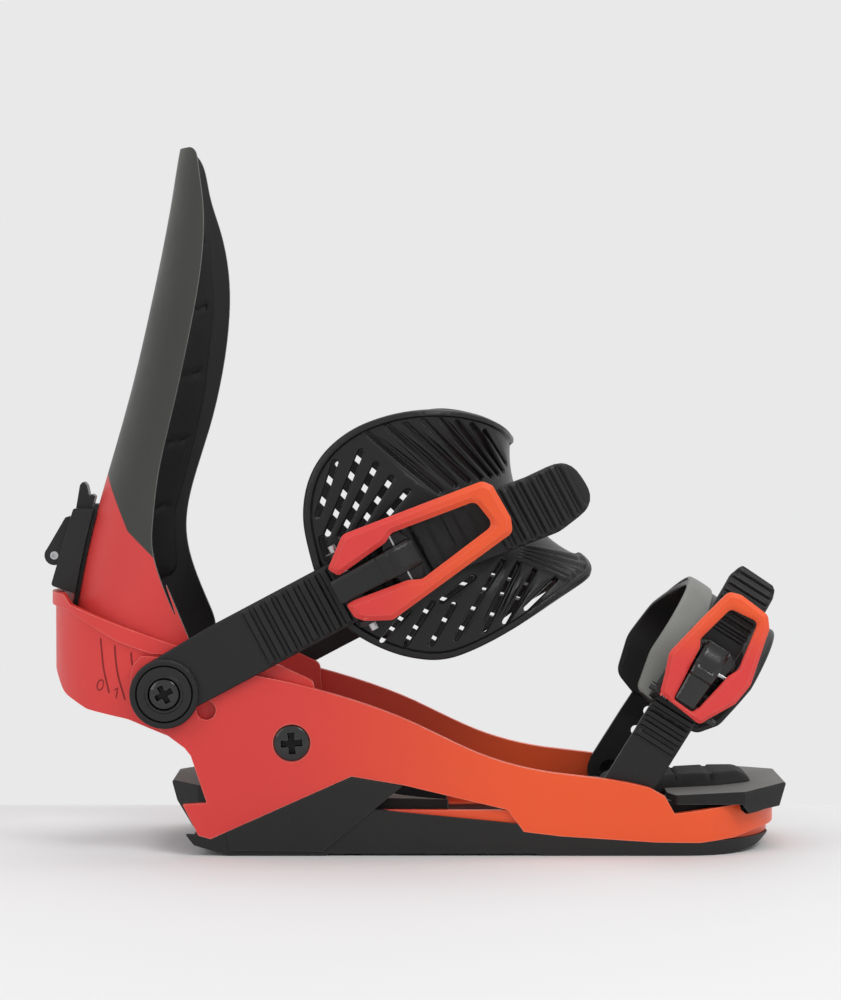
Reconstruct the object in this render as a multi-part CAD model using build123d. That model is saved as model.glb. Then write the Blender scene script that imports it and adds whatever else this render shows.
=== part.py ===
from build123d import *
from math import acos, cos, degrees, hypot, radians, sin, tan
import os

# Strap binding for a snowboard, right foot, in millimetres.
# +X points to the toe, -Y to the outer (lateral) side, +Z up from the board.
# The origin is the centre of the mounting disc on the board surface.

os.makedirs("parts", exist_ok=True)

# driving dimensions
rail_out = 54.5          # outer face of both rails, from the centre line
rail_in = 50.0           # inner face of both rails
toe_x = 140.0            # front of the side frame
deck_z = 11.0            # top of the floor, where the footbeds lie
floor_z = 6.5            # underside of the floor
bed_half = 45.9          # half width of the footbeds between the straps
disc_r = 46.0            # flange of the mounting disc
bolt_pitch = 40.0        # board screws sit on a 40 x 40 pattern
bolt_hole_r = 3.2

pivot = (-140.7, 74.0)   # ankle strap and highback pivot
cup_screw = (-83.4, 51.3)
cup_x = -146.0           # centre of the heelcup's round
cup_r = 49.8             # outer radius of the heelcup
cup_wall = 4.0

strap_angle = 28.0       # ankle strap, above the board
pad_half = 52.0          # half width over the ankle pad
pad_wall = 4.0
saddle = (69.3, 182.0)   # axis the pad's crest curves round
saddle_r = 50.0
buckle = (-55.2, 122.6)  # ankle lever axle

toe_pivot = (67.0, 27.0)
toe_angle = 57.8
toe_half = 43.5          # half width over the toe cap
toe_buckle = (93.5, 69.1)


def face(points):
    """Face through corner points (u, v) or (u, v, corner radius)."""
    edges, ends, n = [], [], len(points)
    for i, corner in enumerate(points):
        p = Vector(corner[0], corner[1])
        a = Vector(*points[i - 1][:2]) - p
        b = Vector(*points[(i + 1) % n][:2]) - p
        a, b = a.normalized(), b.normalized()
        r = corner[2] if len(corner) == 3 else 0
        if r == 0:
            ends.append((p, p))
            continue
        half = acos(max(-1, min(1, a.dot(b)))) / 2
        reach = r / tan(half)
        middle = p + (a + b).normalized() * (r / sin(half) - r)
        ends.append((p + a * reach, p + b * reach))
        edges.append(ThreePointArc(p + a * reach, middle, p + b * reach))
    for i in range(n):
        start, end = ends[i][1], ends[(i + 1) % n][0]
        if (end - start).length > 1e-6:
            edges.append(Line(start, end))
    return make_face(edges)


def slab(shape, y0, y1):
    """Face drawn in X and Z, made solid from y0 to y1."""
    return extrude(Plane.XZ.offset(-y1) * shape, amount=y1 - y0)


def prism(points, y0, y1):
    return slab(face(points), y0, y1)


def column(points, z0, z1):
    """Face drawn in X and Y, made solid from z0 to z1."""
    return extrude(Plane.XY.offset(z0) * face(points), amount=z1 - z0)


def rod(x, z, r, y0, y1):
    """Round bar along Y."""
    return slab(Pos(x, z) * Circle(r), y0, y1)


def turn(origin, angle, points):
    """Corner points given along and across a direction, as X and Z."""
    c, s = cos(radians(angle)), sin(radians(angle))
    out = []
    for p in points:
        xz = (origin[0] + p[0] * c - p[1] * s, origin[1] + p[0] * s + p[1] * c)
        out.append(xz + tuple(p[2:]))
    return out


def across(origin, angle, u, y, r, w0, w1):
    """Round bar that lies across a strap, at u along it and at depth y."""
    c, s = cos(radians(angle)), sin(radians(angle))
    base = (origin[0] + u * c - w0 * s, y, origin[1] + u * s + w0 * c)
    return extrude(Plane(base, x_dir=(c, 0, s), z_dir=(-s, 0, c)) * Circle(r), amount=w1 - w0)


def edgewise(origin, angle, y, points, w0, w1):
    """Plate that lies across a strap: its outline is along the strap and inward from depth y."""
    c, s = cos(radians(angle)), sin(radians(angle))
    base = (origin[0] - w0 * s, y, origin[1] + w0 * c)
    return extrude(Plane(base, x_dir=(c, 0, s), z_dir=(-s, 0, c)) * face(points), amount=w1 - w0)


def band(origin, angle, path, thick):
    """Strap that bends in depth: path holds (along, y) of its middle, straight up to the second."""
    c, s = cos(radians(angle)), sin(radians(angle))
    side = Plane((origin[0], 0, origin[1]), x_dir=(c, 0, s), z_dir=(-s, 0, c))
    edges, starts, ends = [], [], []
    for offset in (thick / 2, -thick / 2):
        points = [(u, y + offset) for u, y in path]
        (u1, y1), (u2, y2) = points[-2], points[-1]
        edges.append(Line(points[0], points[1]))
        edges.append(Spline(points[1:], tangents=((1, 0), (u2 - u1, y2 - y1))))
        starts.append(points[0])
        ends.append(points[-1])
    edges += [Line(*starts), Line(*ends)]
    return extrude(side * make_face(edges), amount=60, both=True)


def mirrored(solid):
    return mirror(solid, about=Plane.XZ)


def screw(x, z, head_r, y_head, head, y_tip, shank_r):
    """Cross-recess screw along Y with its head on the lateral side."""
    body = rod(x, z, head_r, y_head, y_head + head)
    body = fillet(body.edges().group_by(Axis.Y)[0], 0.9)
    cross = Pos(x, y_head, z) * (Box(head_r * 0.95, 3.2, 2.1) + Box(2.1, 3.2, head_r * 0.95))
    recess = cross + Pos(x, y_head, z) * Rot(90, 0, 0) * Cylinder(head_r * 0.27, 3.6)
    return body - recess + rod(x, z, shank_r, y_head + head, y_tip)


def node(name, solid):
    """Write one node; a list becomes a group of separate solids."""
    shape = Compound(children=list(solid)) if isinstance(solid, (list, tuple)) else solid
    export_step(shape, f"parts/{name}.step")


# ---------------------------------------------------------------- baseplate
def plan(half, front, reach, z0, z1, rear=-165.0):
    """Upright solid over the plan of the base: straight sides, round toe."""
    sides = column([(rear, -half), (front - reach, -half), (front - reach, half), (rear, half)], z0, z1)
    toe = extrude(Plane.XY.offset(z0) * Pos(front - reach, 0) * Ellipse(reach, half), amount=z1 - z0)
    return sides + toe


rail_top = Spline([(-98, 81.5), (-61.5, 72.6), (-27.5, 60.1), (0, 47.1), (31.6, 38.2), (55, 35.3), (79, 30.8)])
lobe_top = (-155.2, 86.6)
lobe_low = (pivot[0] - 9.5, pivot[1] - 11.4)
rail_edge = Polyline(
    [
        (79, 30.8), (86.1, 26.7), (90.4, 18.9), (107.6, 21.2), (120.5, 22.6), (121.6, 19.2), (124, 17.2),
        (toe_x + 5, 18.2), (toe_x + 5, 11), (128.5, 10), (118, 7.4), (102, 5.8), (81.4, 6.1), (38.3, 8.9),
        (21.9, 10.9), (14.6, 20.9), (-32.5, 32.1), (-56.3, 36.1), (-120.3, 7.6), (-125.8, 9.2),
        (-132.8, 23.1), (-121.9, 23.9), (-129.2, 45.5), (-132, 49), lobe_low,
    ]
)
lobe = ThreePointArc(lobe_low, (pivot[0] - 15, pivot[1] - 1), lobe_top)
lobe_edge = Polyline([lobe_top, (-151.6, 90.8), (-142, 90.2), (-98, 81.5)])
rail_side = make_face([rail_top, rail_edge, lobe, lobe_edge])
outer = plan(rail_out, toe_x, 45, 0, 95)
inner = plan(rail_in, toe_x - 4.5, 43, -1, 96)
ring = outer - inner
frame = slab(rail_side, -60, 60) & ring
sill_side = face([(-120, floor_z), (36, floor_z), (30, 14), (16, 20.4), (-111, 20.4), (-117, 14)])
for side in (-1, 1):
    frame += slab(sill_side, *sorted((side * 48.0, side * 52.4)))
deck = plan(rail_in + 1.5, toe_x - 2.8, 43.4, floor_z, deck_z, rear=-124)
ledge = Pos(0, 0, 4.6) * Cylinder(49.5, 3.9)
frame = frame + deck + ledge
disc_seat = Pos(0, 0, 9) * Cylinder(disc_r + 0.3, 5.2) + Pos(0, 0, 5) * Cylinder(41.3, 12)
frame -= disc_seat
for side in (-1, 1):
    frame -= rod(-122.1, 66.2, 4.4, *sorted((side * 49, side * 56)))
    frame -= rod(*pivot, 3.2, *sorted((side * 49, side * 56)))
    frame -= rod(*cup_screw, 3.1, *sorted((side * 49, side * 56)))
    frame -= rod(*cup_screw, 8.6, *sorted((side * 53.4, side * 56)))
    frame -= rod(*toe_pivot, 2.5, *sorted((side * 49, side * 53)))

base_side = face(
    [
        (-131.5, 9.4), (-127.8, 4.7), (-112, 0.0), (-68, 0.0), (-66.5, 1.0), (28, 1.0), (29.5, 0.0),
        (113, 0.0), (129, 2.2, 10), (141, 9.4), (141, 12), (38, 12), (14.6, 15), (-46.1, 21), (-32.5, 33.5),
        (-56.3, 36.1), (-120.3, 7.6), (-125.8, 9.2),
    ]
)
base = slab(base_side, -60, 60) & plan(rail_out, toe_x - 1.2, 44, -1, 60)
base -= column([(-140, -rail_in), (150, -rail_in), (150, rail_in), (-140, rail_in)], floor_z, 60)
chevron = [(-113, 10.5), (-111, 2.5), (-69.5, 2.0), (-33.4, 31.6), (-56.2, 35.6)]
for side in (-1, 1):
    base += prism(chevron, *sorted((side * (rail_in + 0.6), side * (rail_out + 0.9))))
base -= Pos(0, 0, 4) * Cylinder(49.6, 12)
base -= frame
base = base.solids().sort_by(SortBy.VOLUME)[-1]
node("side_frame", frame)
node("lower_chassis", base)

mount_disc = Pos(0, 0, 3.4) * Cylinder(41, 6.8) + Pos(0, 0, 8.7) * Cylinder(disc_r, 3.8)
mount_disc = fillet(mount_disc.edges().group_by(Axis.Z)[-1], 1.2)
mount_disc -= Pos(0, 0, 9.9) * (Cylinder(30, 1.6) - Cylinder(8, 4))
for x in (-bolt_pitch / 2, bolt_pitch / 2):
    for y in (-bolt_pitch / 2, bolt_pitch / 2):
        mount_disc -= Pos(x, y, 5) * Cylinder(bolt_hole_r, 14)
        mount_disc -= Pos(x, y, 8.6) * Cone(bolt_hole_r, 6.4, 3.2)
node("mount_disc", mount_disc)

# ----------------------------------------------------------------- footbeds
access = Pos(0, 0, 20) * Cylinder(disc_r + 1.5, 40)
heel_plan = [(-141, -19), (-127, -40), (-120, -bed_half), (-0.4, -bed_half), (-0.4, bed_half),
             (-120, bed_half), (-127, 40), (-141, 19)]
heel_side = [(-140.6, 30.6, 1.2), (-137.6, 21.5), (-129.5, deck_z), (-0.4, deck_z), (-0.4, 24.4, 1.5),
             (-58, 25.6), (-118, 30.5, 20)]
heel_bed = (prism(heel_side, -60, 60) & column(heel_plan, 5, 60)) - access
heel_bed -= frame
node("heel_footbed", heel_bed)

toe_low = plan(bed_half, toe_x - 5.5, 42, deck_z, 60, rear=0.4)
toe_low &= prism([(0.4, deck_z), (136, deck_z), (138, 22), (100, 24), (0.4, 24.4, 1.5)], -60, 60)
toe_plan = [(88.0, -40), (91.2, -51.6, 2), (122.8, -51.6), (144.2, -25), (144.2, 25), (122.8, 51.6),
            (91.2, 51.6, 2), (88.0, 40)]
toe_side = [(84, 22.9), (121.4, 22.9), (124.4, 18.9), (140.6, 19.6), (144.4, 30.2, 1), (123, 28.8), (84, 26.8)]
toe_bed = toe_low + (prism(toe_side, -60, 60) & column(toe_plan, 5, 60))
toe_bed = (toe_bed - access) - frame
for side in (-1, 1):
    toe_bed -= rod(*toe_pivot, 6.6, *sorted((side * 43.6, side * 47)))
cushion_side = [(58, 24.2), (129, 28.0), (126, 33.0, 4), (70, 31.6, 8)]
cushion = prism(cushion_side, -24, 24) - toe_bed
heel_cushion = prism([(-122, 29), (-60, 24.8), (-66, 29.8, 6), (-112, 33.8, 8)], -27, 27) - heel_bed
node("toe_footbed", toe_bed.solids().sort_by(SortBy.VOLUME)[-1])
node("toe_cushion", cushion.solids().sort_by(SortBy.VOLUME)[-1])
node("heel_cushion", heel_cushion.solids().sort_by(SortBy.VOLUME)[-1])


# ----------------------------------------------------------------- heelcup
def loop(r, z0, z1, front):
    straight = column([(cup_x, -r), (front, -r), (front, r), (cup_x, r)], z0, z1)
    return straight + Pos(cup_x, 0, (z0 + z1) / 2) * Cylinder(r, z1 - z0)


cup_side = [
    (-202, 117.8), (-189.4, 117, 2), (-186.2, 112.6, 2), (-134, 94.4), (-90, 86.6, 16), (-73.6, 79, 4),
    (-72, 52, 10), (-78, 41, 8), (-96, 40, 10), (-130, 50, 20), (-158, 61.5, 20), (-178, 65.2, 10),
    (-190, 71.5, 10), (-196.8, 85), (-202, 96),
]
heelcup = loop(cup_r, 30, 130, -70) - loop(cup_r - cup_wall, 20, 140, -60)
heelcup &= prism(cup_side, -70, 70)
rim_side = [(-202, 117.8), (-189.4, 117, 2), (-186.2, 112.6, 2), (-134, 94.4), (-134, 91.4), (-147, 91.6),
            (-163, 97), (-188, 110.4, 10), (-202, 112.3)]
rim = (loop(cup_r + 1.6, 30, 130, -70) - loop(cup_r - 0.5, 20, 140, -60)) & prism(rim_side, -70, 70)
heelcup += rim
for side in (-1, 1):
    heelcup -= rod(*pivot, 3.2, *sorted((side * 44, side * 52)))
    heelcup -= rod(*cup_screw, 3.1, *sorted((side * 44, side * 52)))
node("heelcup", heelcup)

cup_screw_l = screw(*cup_screw, 8.2, -56.4, 2.95, -42.9, 3.0)
cup_nut_l = rod(*cup_screw, 8.0, -45.7, -43.9) - rod(*cup_screw, 3.05, -50, -40)
node("heelcup_screws", [cup_screw_l, mirrored(cup_screw_l)])
node("heelcup_nuts", [cup_nut_l, mirrored(cup_nut_l)])

pivot_screw = screw(*pivot, 8.0, -62.6, 3.0, -40.2, 3.0)
pivot_nut = rod(*pivot, 4.5, -45.7, -41.3) + rod(*pivot, 9.0, -41.3, -39.4)
pivot_nut -= rod(*pivot, 3.05, -50, -30)
strap_disc = rod(*pivot, 12.7, -61.0, -57.8) + rod(*pivot, 6.0, -57.8, -54.55)
strap_disc -= rod(*pivot, 8.1, -61.5, -59.55) + rod(*pivot, 3.05, -62, -50)
strap_disc = fillet(strap_disc.edges().group_by(Axis.Y)[0].sort_by(SortBy.LENGTH)[-1], 0.6)
node("strap_screws", [pivot_screw, mirrored(pivot_screw)])
node("strap_nuts", [pivot_nut, mirrored(pivot_nut)])
node("strap_discs", [strap_disc, mirrored(strap_disc)])

# ---------------------------------------------------------------- highback
# height, rear of the spine, half width, depth of the ellipse
back_sections = [
    (56, -190.2, 45.3, 45.2), (84, -190.2, 45.3, 45.2), (113, -185.4, 45.0, 45.2), (156, -176, 44.4, 45),
    (189, -166.4, 43.6, 44), (216, -159, 42.6, 42), (255, -150, 40.6, 40), (297, -141.6, 37.2, 36),
    (326, -136.6, 33.0, 32),
]


def back_body(inset):
    """Solid inside the highback's outer surface, moved in by inset."""
    faces = []
    for z, rear, half, depth in back_sections:
        faces.append(Pos(rear + depth, 0, z) * Ellipse(depth - inset, half - inset))
    return loft(faces)


near_front = Spline(
    [(-132.6, 323.2), (-127.2, 315), (-124.8, 298), (-124.6, 278), (-129, 246), (-134.5, 219),
     (-139.5, 197), (-145, 172), (-147.4, 150), (-145.4, 130), (-137, 110), (-127.6, 90)],
    tangents=((1, 0.1), (0.4, -1)),
)
far_front = Spline(
    [(-132.6, 323.2), (-125.6, 305), (-120.6, 287), (-116.6, 262), (-117.2, 241), (-120.5, 218),
     (-126.5, 193), (-134, 169), (-138, 146), (-134.6, 127), (-126, 106), (-122.6, 90)],
    tangents=((1, -0.6), (0.1, -1)),
)


def back_cut(front, y0, y1):
    """Side shape of one half of the highback."""
    low = front @ 1
    rim = Polyline([low, (-128.2, 74), (-133, 62), (-145, 62), (-153.5, 73.5), (-176, 84), (-215, 84), (-215, 323.2),
                    (-132.6, 323.2)])
    return slab(make_face([front, rim]), y0, y1)


back_side = back_cut(near_front, -60, 0) + back_cut(far_front, 0, 60)
shell = (back_body(0) - back_body(3.4)) & back_side
for side in (-1, 1):
    ear = rod(*pivot, 12.2, *sorted((side * 41.4, side * 45.3)))
    shell += ear
    shell -= rod(*pivot, 4.56, *sorted((side * 38, side * 50)))
    shell -= rod(*pivot, 12.4, *sorted((side * 30, side * 41.35)))
node("highback", shell.solids().sort_by(SortBy.VOLUME)[-1])

pad_zone = prism([(-210, 118), (-149, 118, 8), (-151, 150), (-140, 210), (-131, 250), (-130, 300, 6),
                  (-137, 316, 8), (-210, 316)], -60, 0)
pad_zone += prism([(-210, 118), (-140, 118, 8), (-142, 150), (-126, 210), (-121.5, 250), (-125, 286, 8),
                   (-137, 316, 8), (-210, 316)], 0, 60)
back_pad = (back_body(3.45) - back_body(7.2)) & pad_zone
node("highback_pad", back_pad.solids().sort_by(SortBy.VOLUME)[-1])

# forward lean adjuster: a track on the spine, a block on it and a flip lever
track = (back_body(-2.3) - back_body(-0.05)) & prism([(-200, 110), (-160, 110), (-160, 158), (-200, 158)], -7, 7)
node("lean_track", track.solids().sort_by(SortBy.VOLUME)[-1])

lean_pin = (-196.0, 134.0)
block = prism([(-186.6, 156.2, 1.5), (-172, 155.2), (-184, 115.6), (-197.2, 120.2, 1.5)], -12, 12)
block += prism([(-186.2, 155), (-184.2, 166.8), (-182.6, 168.6, 0.8), (-180.9, 166.6), (-179.8, 161.6),
                (-178.6, 162.6, 0.4), (-177.2, 161.6), (-176, 155)], -5, 5)
block -= prism([(-215, 158), (-186, 158), (-190.0, 139), (-191.0, 128.9), (-215, 128.9)], -8.2, 8.2)
tongue = prism([(-196, 129.6), (-186, 129.6), (-186, 138), (-194, 138.2)], -4.4, 4.4) + rod(*lean_pin, 4.4, -4.4, 4.4)
block += tongue
block -= back_body(-2.8)
block -= rod(*lean_pin, 1.94, -9, 9)
node("lean_block", block.solids().sort_by(SortBy.VOLUME)[-1])

lean_lever = rod(*lean_pin, 4.6, -7.6, 7.6)
lean_lever += prism([(-188.2, 152.4, 0.6), (-190.8, 151.8, 0.8), (-200.3, 135.6), (-191.6, 133.2), (-190.6, 141)],
                    -7.6, 7.6)
lean_lever -= rod(*lean_pin, 5.0, -4.7, 4.7)
lean_lever -= prism([(-197, 128), (-185, 128), (-185, 138.6), (-194, 139)], -4.7, 4.7)
lean_lever -= rod(*lean_pin, 1.94, -9, 9)
node("lean_lever", lean_lever.solids().sort_by(SortBy.VOLUME)[-1])
node("lean_pin", rod(*lean_pin, 1.9, -8.0, 8.0) - rod(*lean_pin, 0.9, -9, -6.5) - rod(*lean_pin, 0.9, 6.5, 9))

# ------------------------------------------------------------- ankle strap
ladder_side = turn(pivot, strap_angle, [(0, -12.1), (136, -12.1), (192, -19.6), (213.6, -16, 11), (211, 8.6, 11),
                                        (190, 9.6), (136, 17.3), (0, 17.3)])
ladder_path = [(-25, -56.8), (146, -56.8), (178, -54.2), (202, -48.8), (222, -41.6)]
ladder = band(pivot, strap_angle, ladder_path, 3.6) & prism(ladder_side, -70, -30)
ladder += rod(*pivot, 15.7, -61.2, -55.0)
ladder -= rod(*pivot, 12.8, -62, -57.75) + rod(*pivot, 6.06, -62, -50)
for i in range(9):
    rib = turn(pivot, strap_angle, [(48 + 5.6 * i, -11.6, 0.6), (51 + 5.6 * i, -11.6, 0.6),
                                    (51 + 5.6 * i, 16.8, 0.6), (48 + 5.6 * i, 16.8, 0.6)])
    ladder += prism(rib, -60.2, -58.4)
node("ankle_ladder", ladder)

medial_side = turn(pivot, strap_angle, [(0, -14.2), (52, -25.5, 20), (100, -25.5, 13), (100, 4.5, 13), (52, 4.5, 20),
                                        (0, 14.2)])
medial = band(pivot, strap_angle, [(-25, 56.8), (68, 56.8), (79, 55.8), (90, 54.6), (120, 54.3)], 3.6)
medial &= prism(medial_side, 40, 70)
pad_screw = turn(pivot, strap_angle, [(91, -11)])[0]
medial -= rod(*pad_screw, 2.1, 40, 70)
medial += rod(*pivot, 15.7, 55.0, 61.2)
medial -= rod(*pivot, 12.8, 57.75, 62) + rod(*pivot, 6.06, 50, 62)
node("ankle_medial_arm", medial)

pad_side = [(1.9, 200.3, 8), (-21, 201.8, 20), (-52.6, 194, 18), (-66.2, 184.1, 18), (-77.3, 152.5, 30),
            (-68.2, 115.9, 20), (-47.7, 95.8, 18), (-25.4, 88.8, 18), (2.1, 95.7, 20), (38.4, 116.2, 20),
            (54.5, 128.5, 6), (60, 150), (30, 205)]


def arch(half, crest, foot, wall):
    """U profile in depth and height: legs from foot up to a round crest."""
    top = crest - half
    outside = make_face([Line((half, foot), (half, top)), RadiusArc((half, top), (-half, top), -half),
                         Line((-half, top), (-half, foot)), Line((-half, foot), (half, foot))])
    r = half - wall
    inside = make_face([Line((r, foot - 5), (r, top)), RadiusArc((r, top), (-r, top), -r),
                        Line((-r, top), (-r, foot - 5)), Line((-r, foot - 5), (r, foot - 5))])
    return outside - inside


# the arch stands in a plane through the saddle axis and is turned round it
c30, s30 = cos(radians(210)), sin(radians(210))
saddle_plane = Plane((saddle[0], 0, saddle[1]), x_dir=(0, 1, 0), z_dir=(s30, 0, -c30))
leg = arch(pad_half, -saddle_r, -saddle_r - 112, pad_wall)
pad = revolve(saddle_plane * leg, Axis((saddle[0], 0, saddle[1]), (0, 1, 0)), 360)
ankle_pad = pad & prism(pad_side, -60, 60)
ankle_pad -= rod(*pad_screw, 2.1, 40, 60)
node("ankle_pad", ankle_pad.solids().sort_by(SortBy.VOLUME)[-1])
node("ankle_pad_screw", rod(*pad_screw, 5.0, 57.0, 58.6) + rod(*pad_screw, 2.05, 46.4, 57.0))


def ratchet(tag, at, angle, floor_y, axle_y, half, window, outline, size, tail, shift):
    """Base, lever, release lever, pawl, axles and springs of one buckle."""
    def out(points):
        return turn(at, angle, points)

    top_y = axle_y - 8.5 * size
    inside = half - 2.2
    base = prism(out([(-7 * size, -half, 2), (44 * size, -half, 5), (44 * size, half, 5), (-7 * size, half, 2)]),
                 floor_y, floor_y + 2.4)
    drop = floor_y - axle_y
    top = 3.15 * size
    cheek = [(-6.6 * size, drop + 0.4), (-3.1 * size, 0.3, 2), (-2.2 * size, -top, 2.2 * size), (30 * size, -top, 2),
             (30 * size, drop + 0.4)]
    for w in (-half, inside):
        base += edgewise(at, angle, axle_y, cheek, w, w + 2.2)
    base -= across(at, angle, 0, axle_y, 1.9, -30, 30)
    base -= across(at, angle, 25 * size, axle_y + 0.6, 1.4, -30, 30)
    for sign in (-1, 1):
        x, z = turn(at, angle, [(38 * size, sign * half * 0.5)])[0]
        base -= rod(x, z, 1.6, floor_y - 5, floor_y + 5)
    node(f"{tag}_buckle_base", base)

    lever = slab(face(outline), top_y, top_y + 5.2 * size) - slab(face(window), top_y - 1, top_y + 9)
    for sign in (-1, 1):
        lo, hi = half + 0.4, half + 3.4
        skirt = out([(-5, sign * lo, 1), (16 * size, sign * lo), (16 * size, sign * hi), (-5, sign * hi, 1)])
        lever += prism(skirt, top_y + 1, axle_y + 3.2)
    lever -= across(at, angle, 0, axle_y, 1.9, -30, 30)
    node(f"{tag}_lever", lever)

    axle = across(at, angle, 0, axle_y, 1.85, -half - 3.2, half + 3.2)
    node(f"{tag}_lever_axle", axle)

    grip = 5.9 * size
    left, right = shift - grip, shift + grip
    catch = prism(out([(tail, left, 1.5), (28 * size, left, 1.5), (28 * size, right, 1.5), (tail, right, 1.5)]),
                  top_y + 0.6, top_y + 4.2 * size)
    catch += prism(out([(21 * size, -inside + 0.5), (29 * size, -inside + 0.5), (29 * size, inside - 0.5),
                        (21 * size, inside - 0.5)]), axle_y - 2.2, axle_y + 3.2)
    catch += prism(out([(19 * size, left, 1), (33 * size, left, 3), (33 * size, right, 3), (19 * size, right, 1)]),
                   top_y + 2.2 * size, axle_y)
    catch -= across(at, angle, 25 * size, axle_y + 0.6, 1.4, -30, 30)
    node(f"{tag}_release_lever", catch)
    node(f"{tag}_release_pin", across(at, angle, 25 * size, axle_y + 0.6, 1.35, -half, half))

    claw = [(-2.5, -2.6 * size), (2.5, -2.6 * size, 1), (2.6, 2.2), (1.2, 5.8), (-0.4, 5.0), (-1.4, 5.8), (-2.7, 2.2)]
    pawl = edgewise(at, angle, axle_y, claw, -8 * size, 8 * size)
    pawl -= across(at, angle, 0, axle_y, 1.9, -30, 30)
    node(f"{tag}_drive_pawl", pawl)
    wire = Helix(pitch=1.2, height=4.2 * size, radius=2.25)
    coil = sweep(Plane(wire @ 0, z_dir=wire % 0) * Circle(0.34), wire, is_frenet=True)
    c, s = cos(radians(angle)), sin(radians(angle))
    spot = Plane((at[0] - 9 * size * s, axle_y, at[1] + 9 * size * c), x_dir=(c, 0, s), z_dir=(-s, 0, c))
    node(f"{tag}_lever_spring", spot * coil)
    pins = []
    for sign in (-1, 1):
        x, z = turn(at, angle, [(38 * size, sign * half * 0.5)])[0]
        pin = rod(x, z, 3.0, floor_y - 0.3, floor_y) + rod(x, z, 1.55, floor_y, floor_y + 2.4)
        pins.append(pin)
    node(f"{tag}_buckle_rivets", pins)


ankle_outline = [(-66.6, 131.0, 2), (-60.0, 146.6, 4), (2.6, 170.6, 4), (7.2, 168.6, 3), (15.4, 154.2, 4),
                 (16.2, 147.6, 3), (-37.4, 108.4, 4), (-50.2, 108.0, 5), (-54.4, 109.6, 2), (-57.9, 115.4)]
ankle_window = [(-70.0, 123.0), (-63.4, 127.0), (-40.8, 143.0, 3), (-38.0, 147.4, 3), (-0.6, 161.6, 3),
                (7.8, 151.0, 3), (-24.2, 126.7, 4), (-30.8, 126.2, 4), (-57.3, 116.2), (-63, 108)]
ratchet("ankle", buckle, strap_angle, -54.55, -65.0, 18.0, ankle_window, ankle_outline, 1.0, -8, 1.6)

# --------------------------------------------------------------- toe strap
toe_ladder_side = turn(toe_pivot, toe_angle, [(0, -10.6), (104, -10.6, 9), (116, -4, 6), (116, 6, 6), (104, 11.4, 9),
                                              (0, 11.4)])
toe_path = [(-20, -47.9), (86, -47.9), (98, -46.0), (110, -41.2), (124, -33.6)]
toe_ladder = band(toe_pivot, toe_angle, toe_path, 3.2) & prism(toe_ladder_side, -60, -20)
toe_ladder += rod(*toe_pivot, 11.0, -49.5, -46.3)
toe_ladder -= rod(*toe_pivot, 2.56, -60, -40)
for i in range(6):
    rib = turn(toe_pivot, toe_angle, [(22 + 4.4 * i, -10.0, 0.6), (24.4 + 4.4 * i, -10.0, 0.6),
                                      (24.4 + 4.4 * i, 10.8, 0.6), (22 + 4.4 * i, 10.8, 0.6)])
    toe_ladder += prism(rib, -50.8, -49.2)
node("toe_ladder", toe_ladder)

toe_medial_side = turn(toe_pivot, toe_angle, [(0, -10.6), (58, -10.6, 10), (58, 11.4, 10), (0, 11.4)])
toe_medial = band(toe_pivot, toe_angle, [(-20, 47.9), (24, 47.9), (34, 46.6), (44, 45.35), (66, 45.35)], 3.2)
toe_medial &= prism(toe_medial_side, 30, 60)
toe_medial += rod(*toe_pivot, 11.0, 46.3, 49.5)
toe_medial -= rod(*toe_pivot, 2.56, 40, 60)
for i in range(2):
    x, z = turn(toe_pivot, toe_angle, [(23 + 11.2 * i, 0)])[0]
    toe_medial -= rod(x, z, 2.3, 40, 60)
cap_screw = turn(toe_pivot, toe_angle, [(50, 0)])[0]
toe_medial -= rod(*cap_screw, 1.9, 40, 60)
node("toe_medial_arm", toe_medial)

toe_screw = rod(*toe_pivot, 5.6, -46.2, -44.4) + rod(*toe_pivot, 2.5, -52.9, -46.2)
node("toe_strap_screws", [toe_screw, mirrored(toe_screw)])

c60, s60 = cos(radians(toe_angle)), sin(radians(toe_angle))
cap_plane = Plane((toe_pivot[0], 0, toe_pivot[1]), x_dir=(0, 1, 0), z_dir=(s60, 0, -c60))
cap_side = turn(toe_pivot, toe_angle, [(41, -14, 6), (41, 10), (44, 19.5, 6), (62, 26, 20), (80, 30, 20), (104, 29),
                                       (104, -25), (72, -25, 12), (50, -21, 8)])
cap = extrude(cap_plane * arch(toe_half, 99, 20, 4.0), amount=40, both=True) & prism(cap_side, -60, 60)
toe_band = extrude(cap_plane * arch(toe_half + 1.5, 100.5, 20, 1.45), amount=40, both=True)
toe_band &= prism(turn(toe_pivot, toe_angle, [(46, 14, 2), (46, 19.5, 2), (62, 25.4, 20), (80, 29.2, 20), (106, 28.4),
                                              (106, 20), (80, 20, 20), (62, 17.4, 20)]), -60, 60)
toe_band -= prism(turn(toe_buckle, toe_angle, [(-30, -19), (70, -19), (70, 19), (-30, 19)]), -60, -30)
cap -= rod(*cap_screw, 1.9, 38, 50)
node("toe_cap_screw", rod(*cap_screw, 4.2, 47.0, 48.6) + rod(*cap_screw, 1.85, 38.4, 47.0))
node("toe_cap", cap.solids().sort_by(SortBy.VOLUME)[-1])
node("toe_cap_band", toe_band.solids().sort_by(SortBy.VOLUME)[-1])

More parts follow.
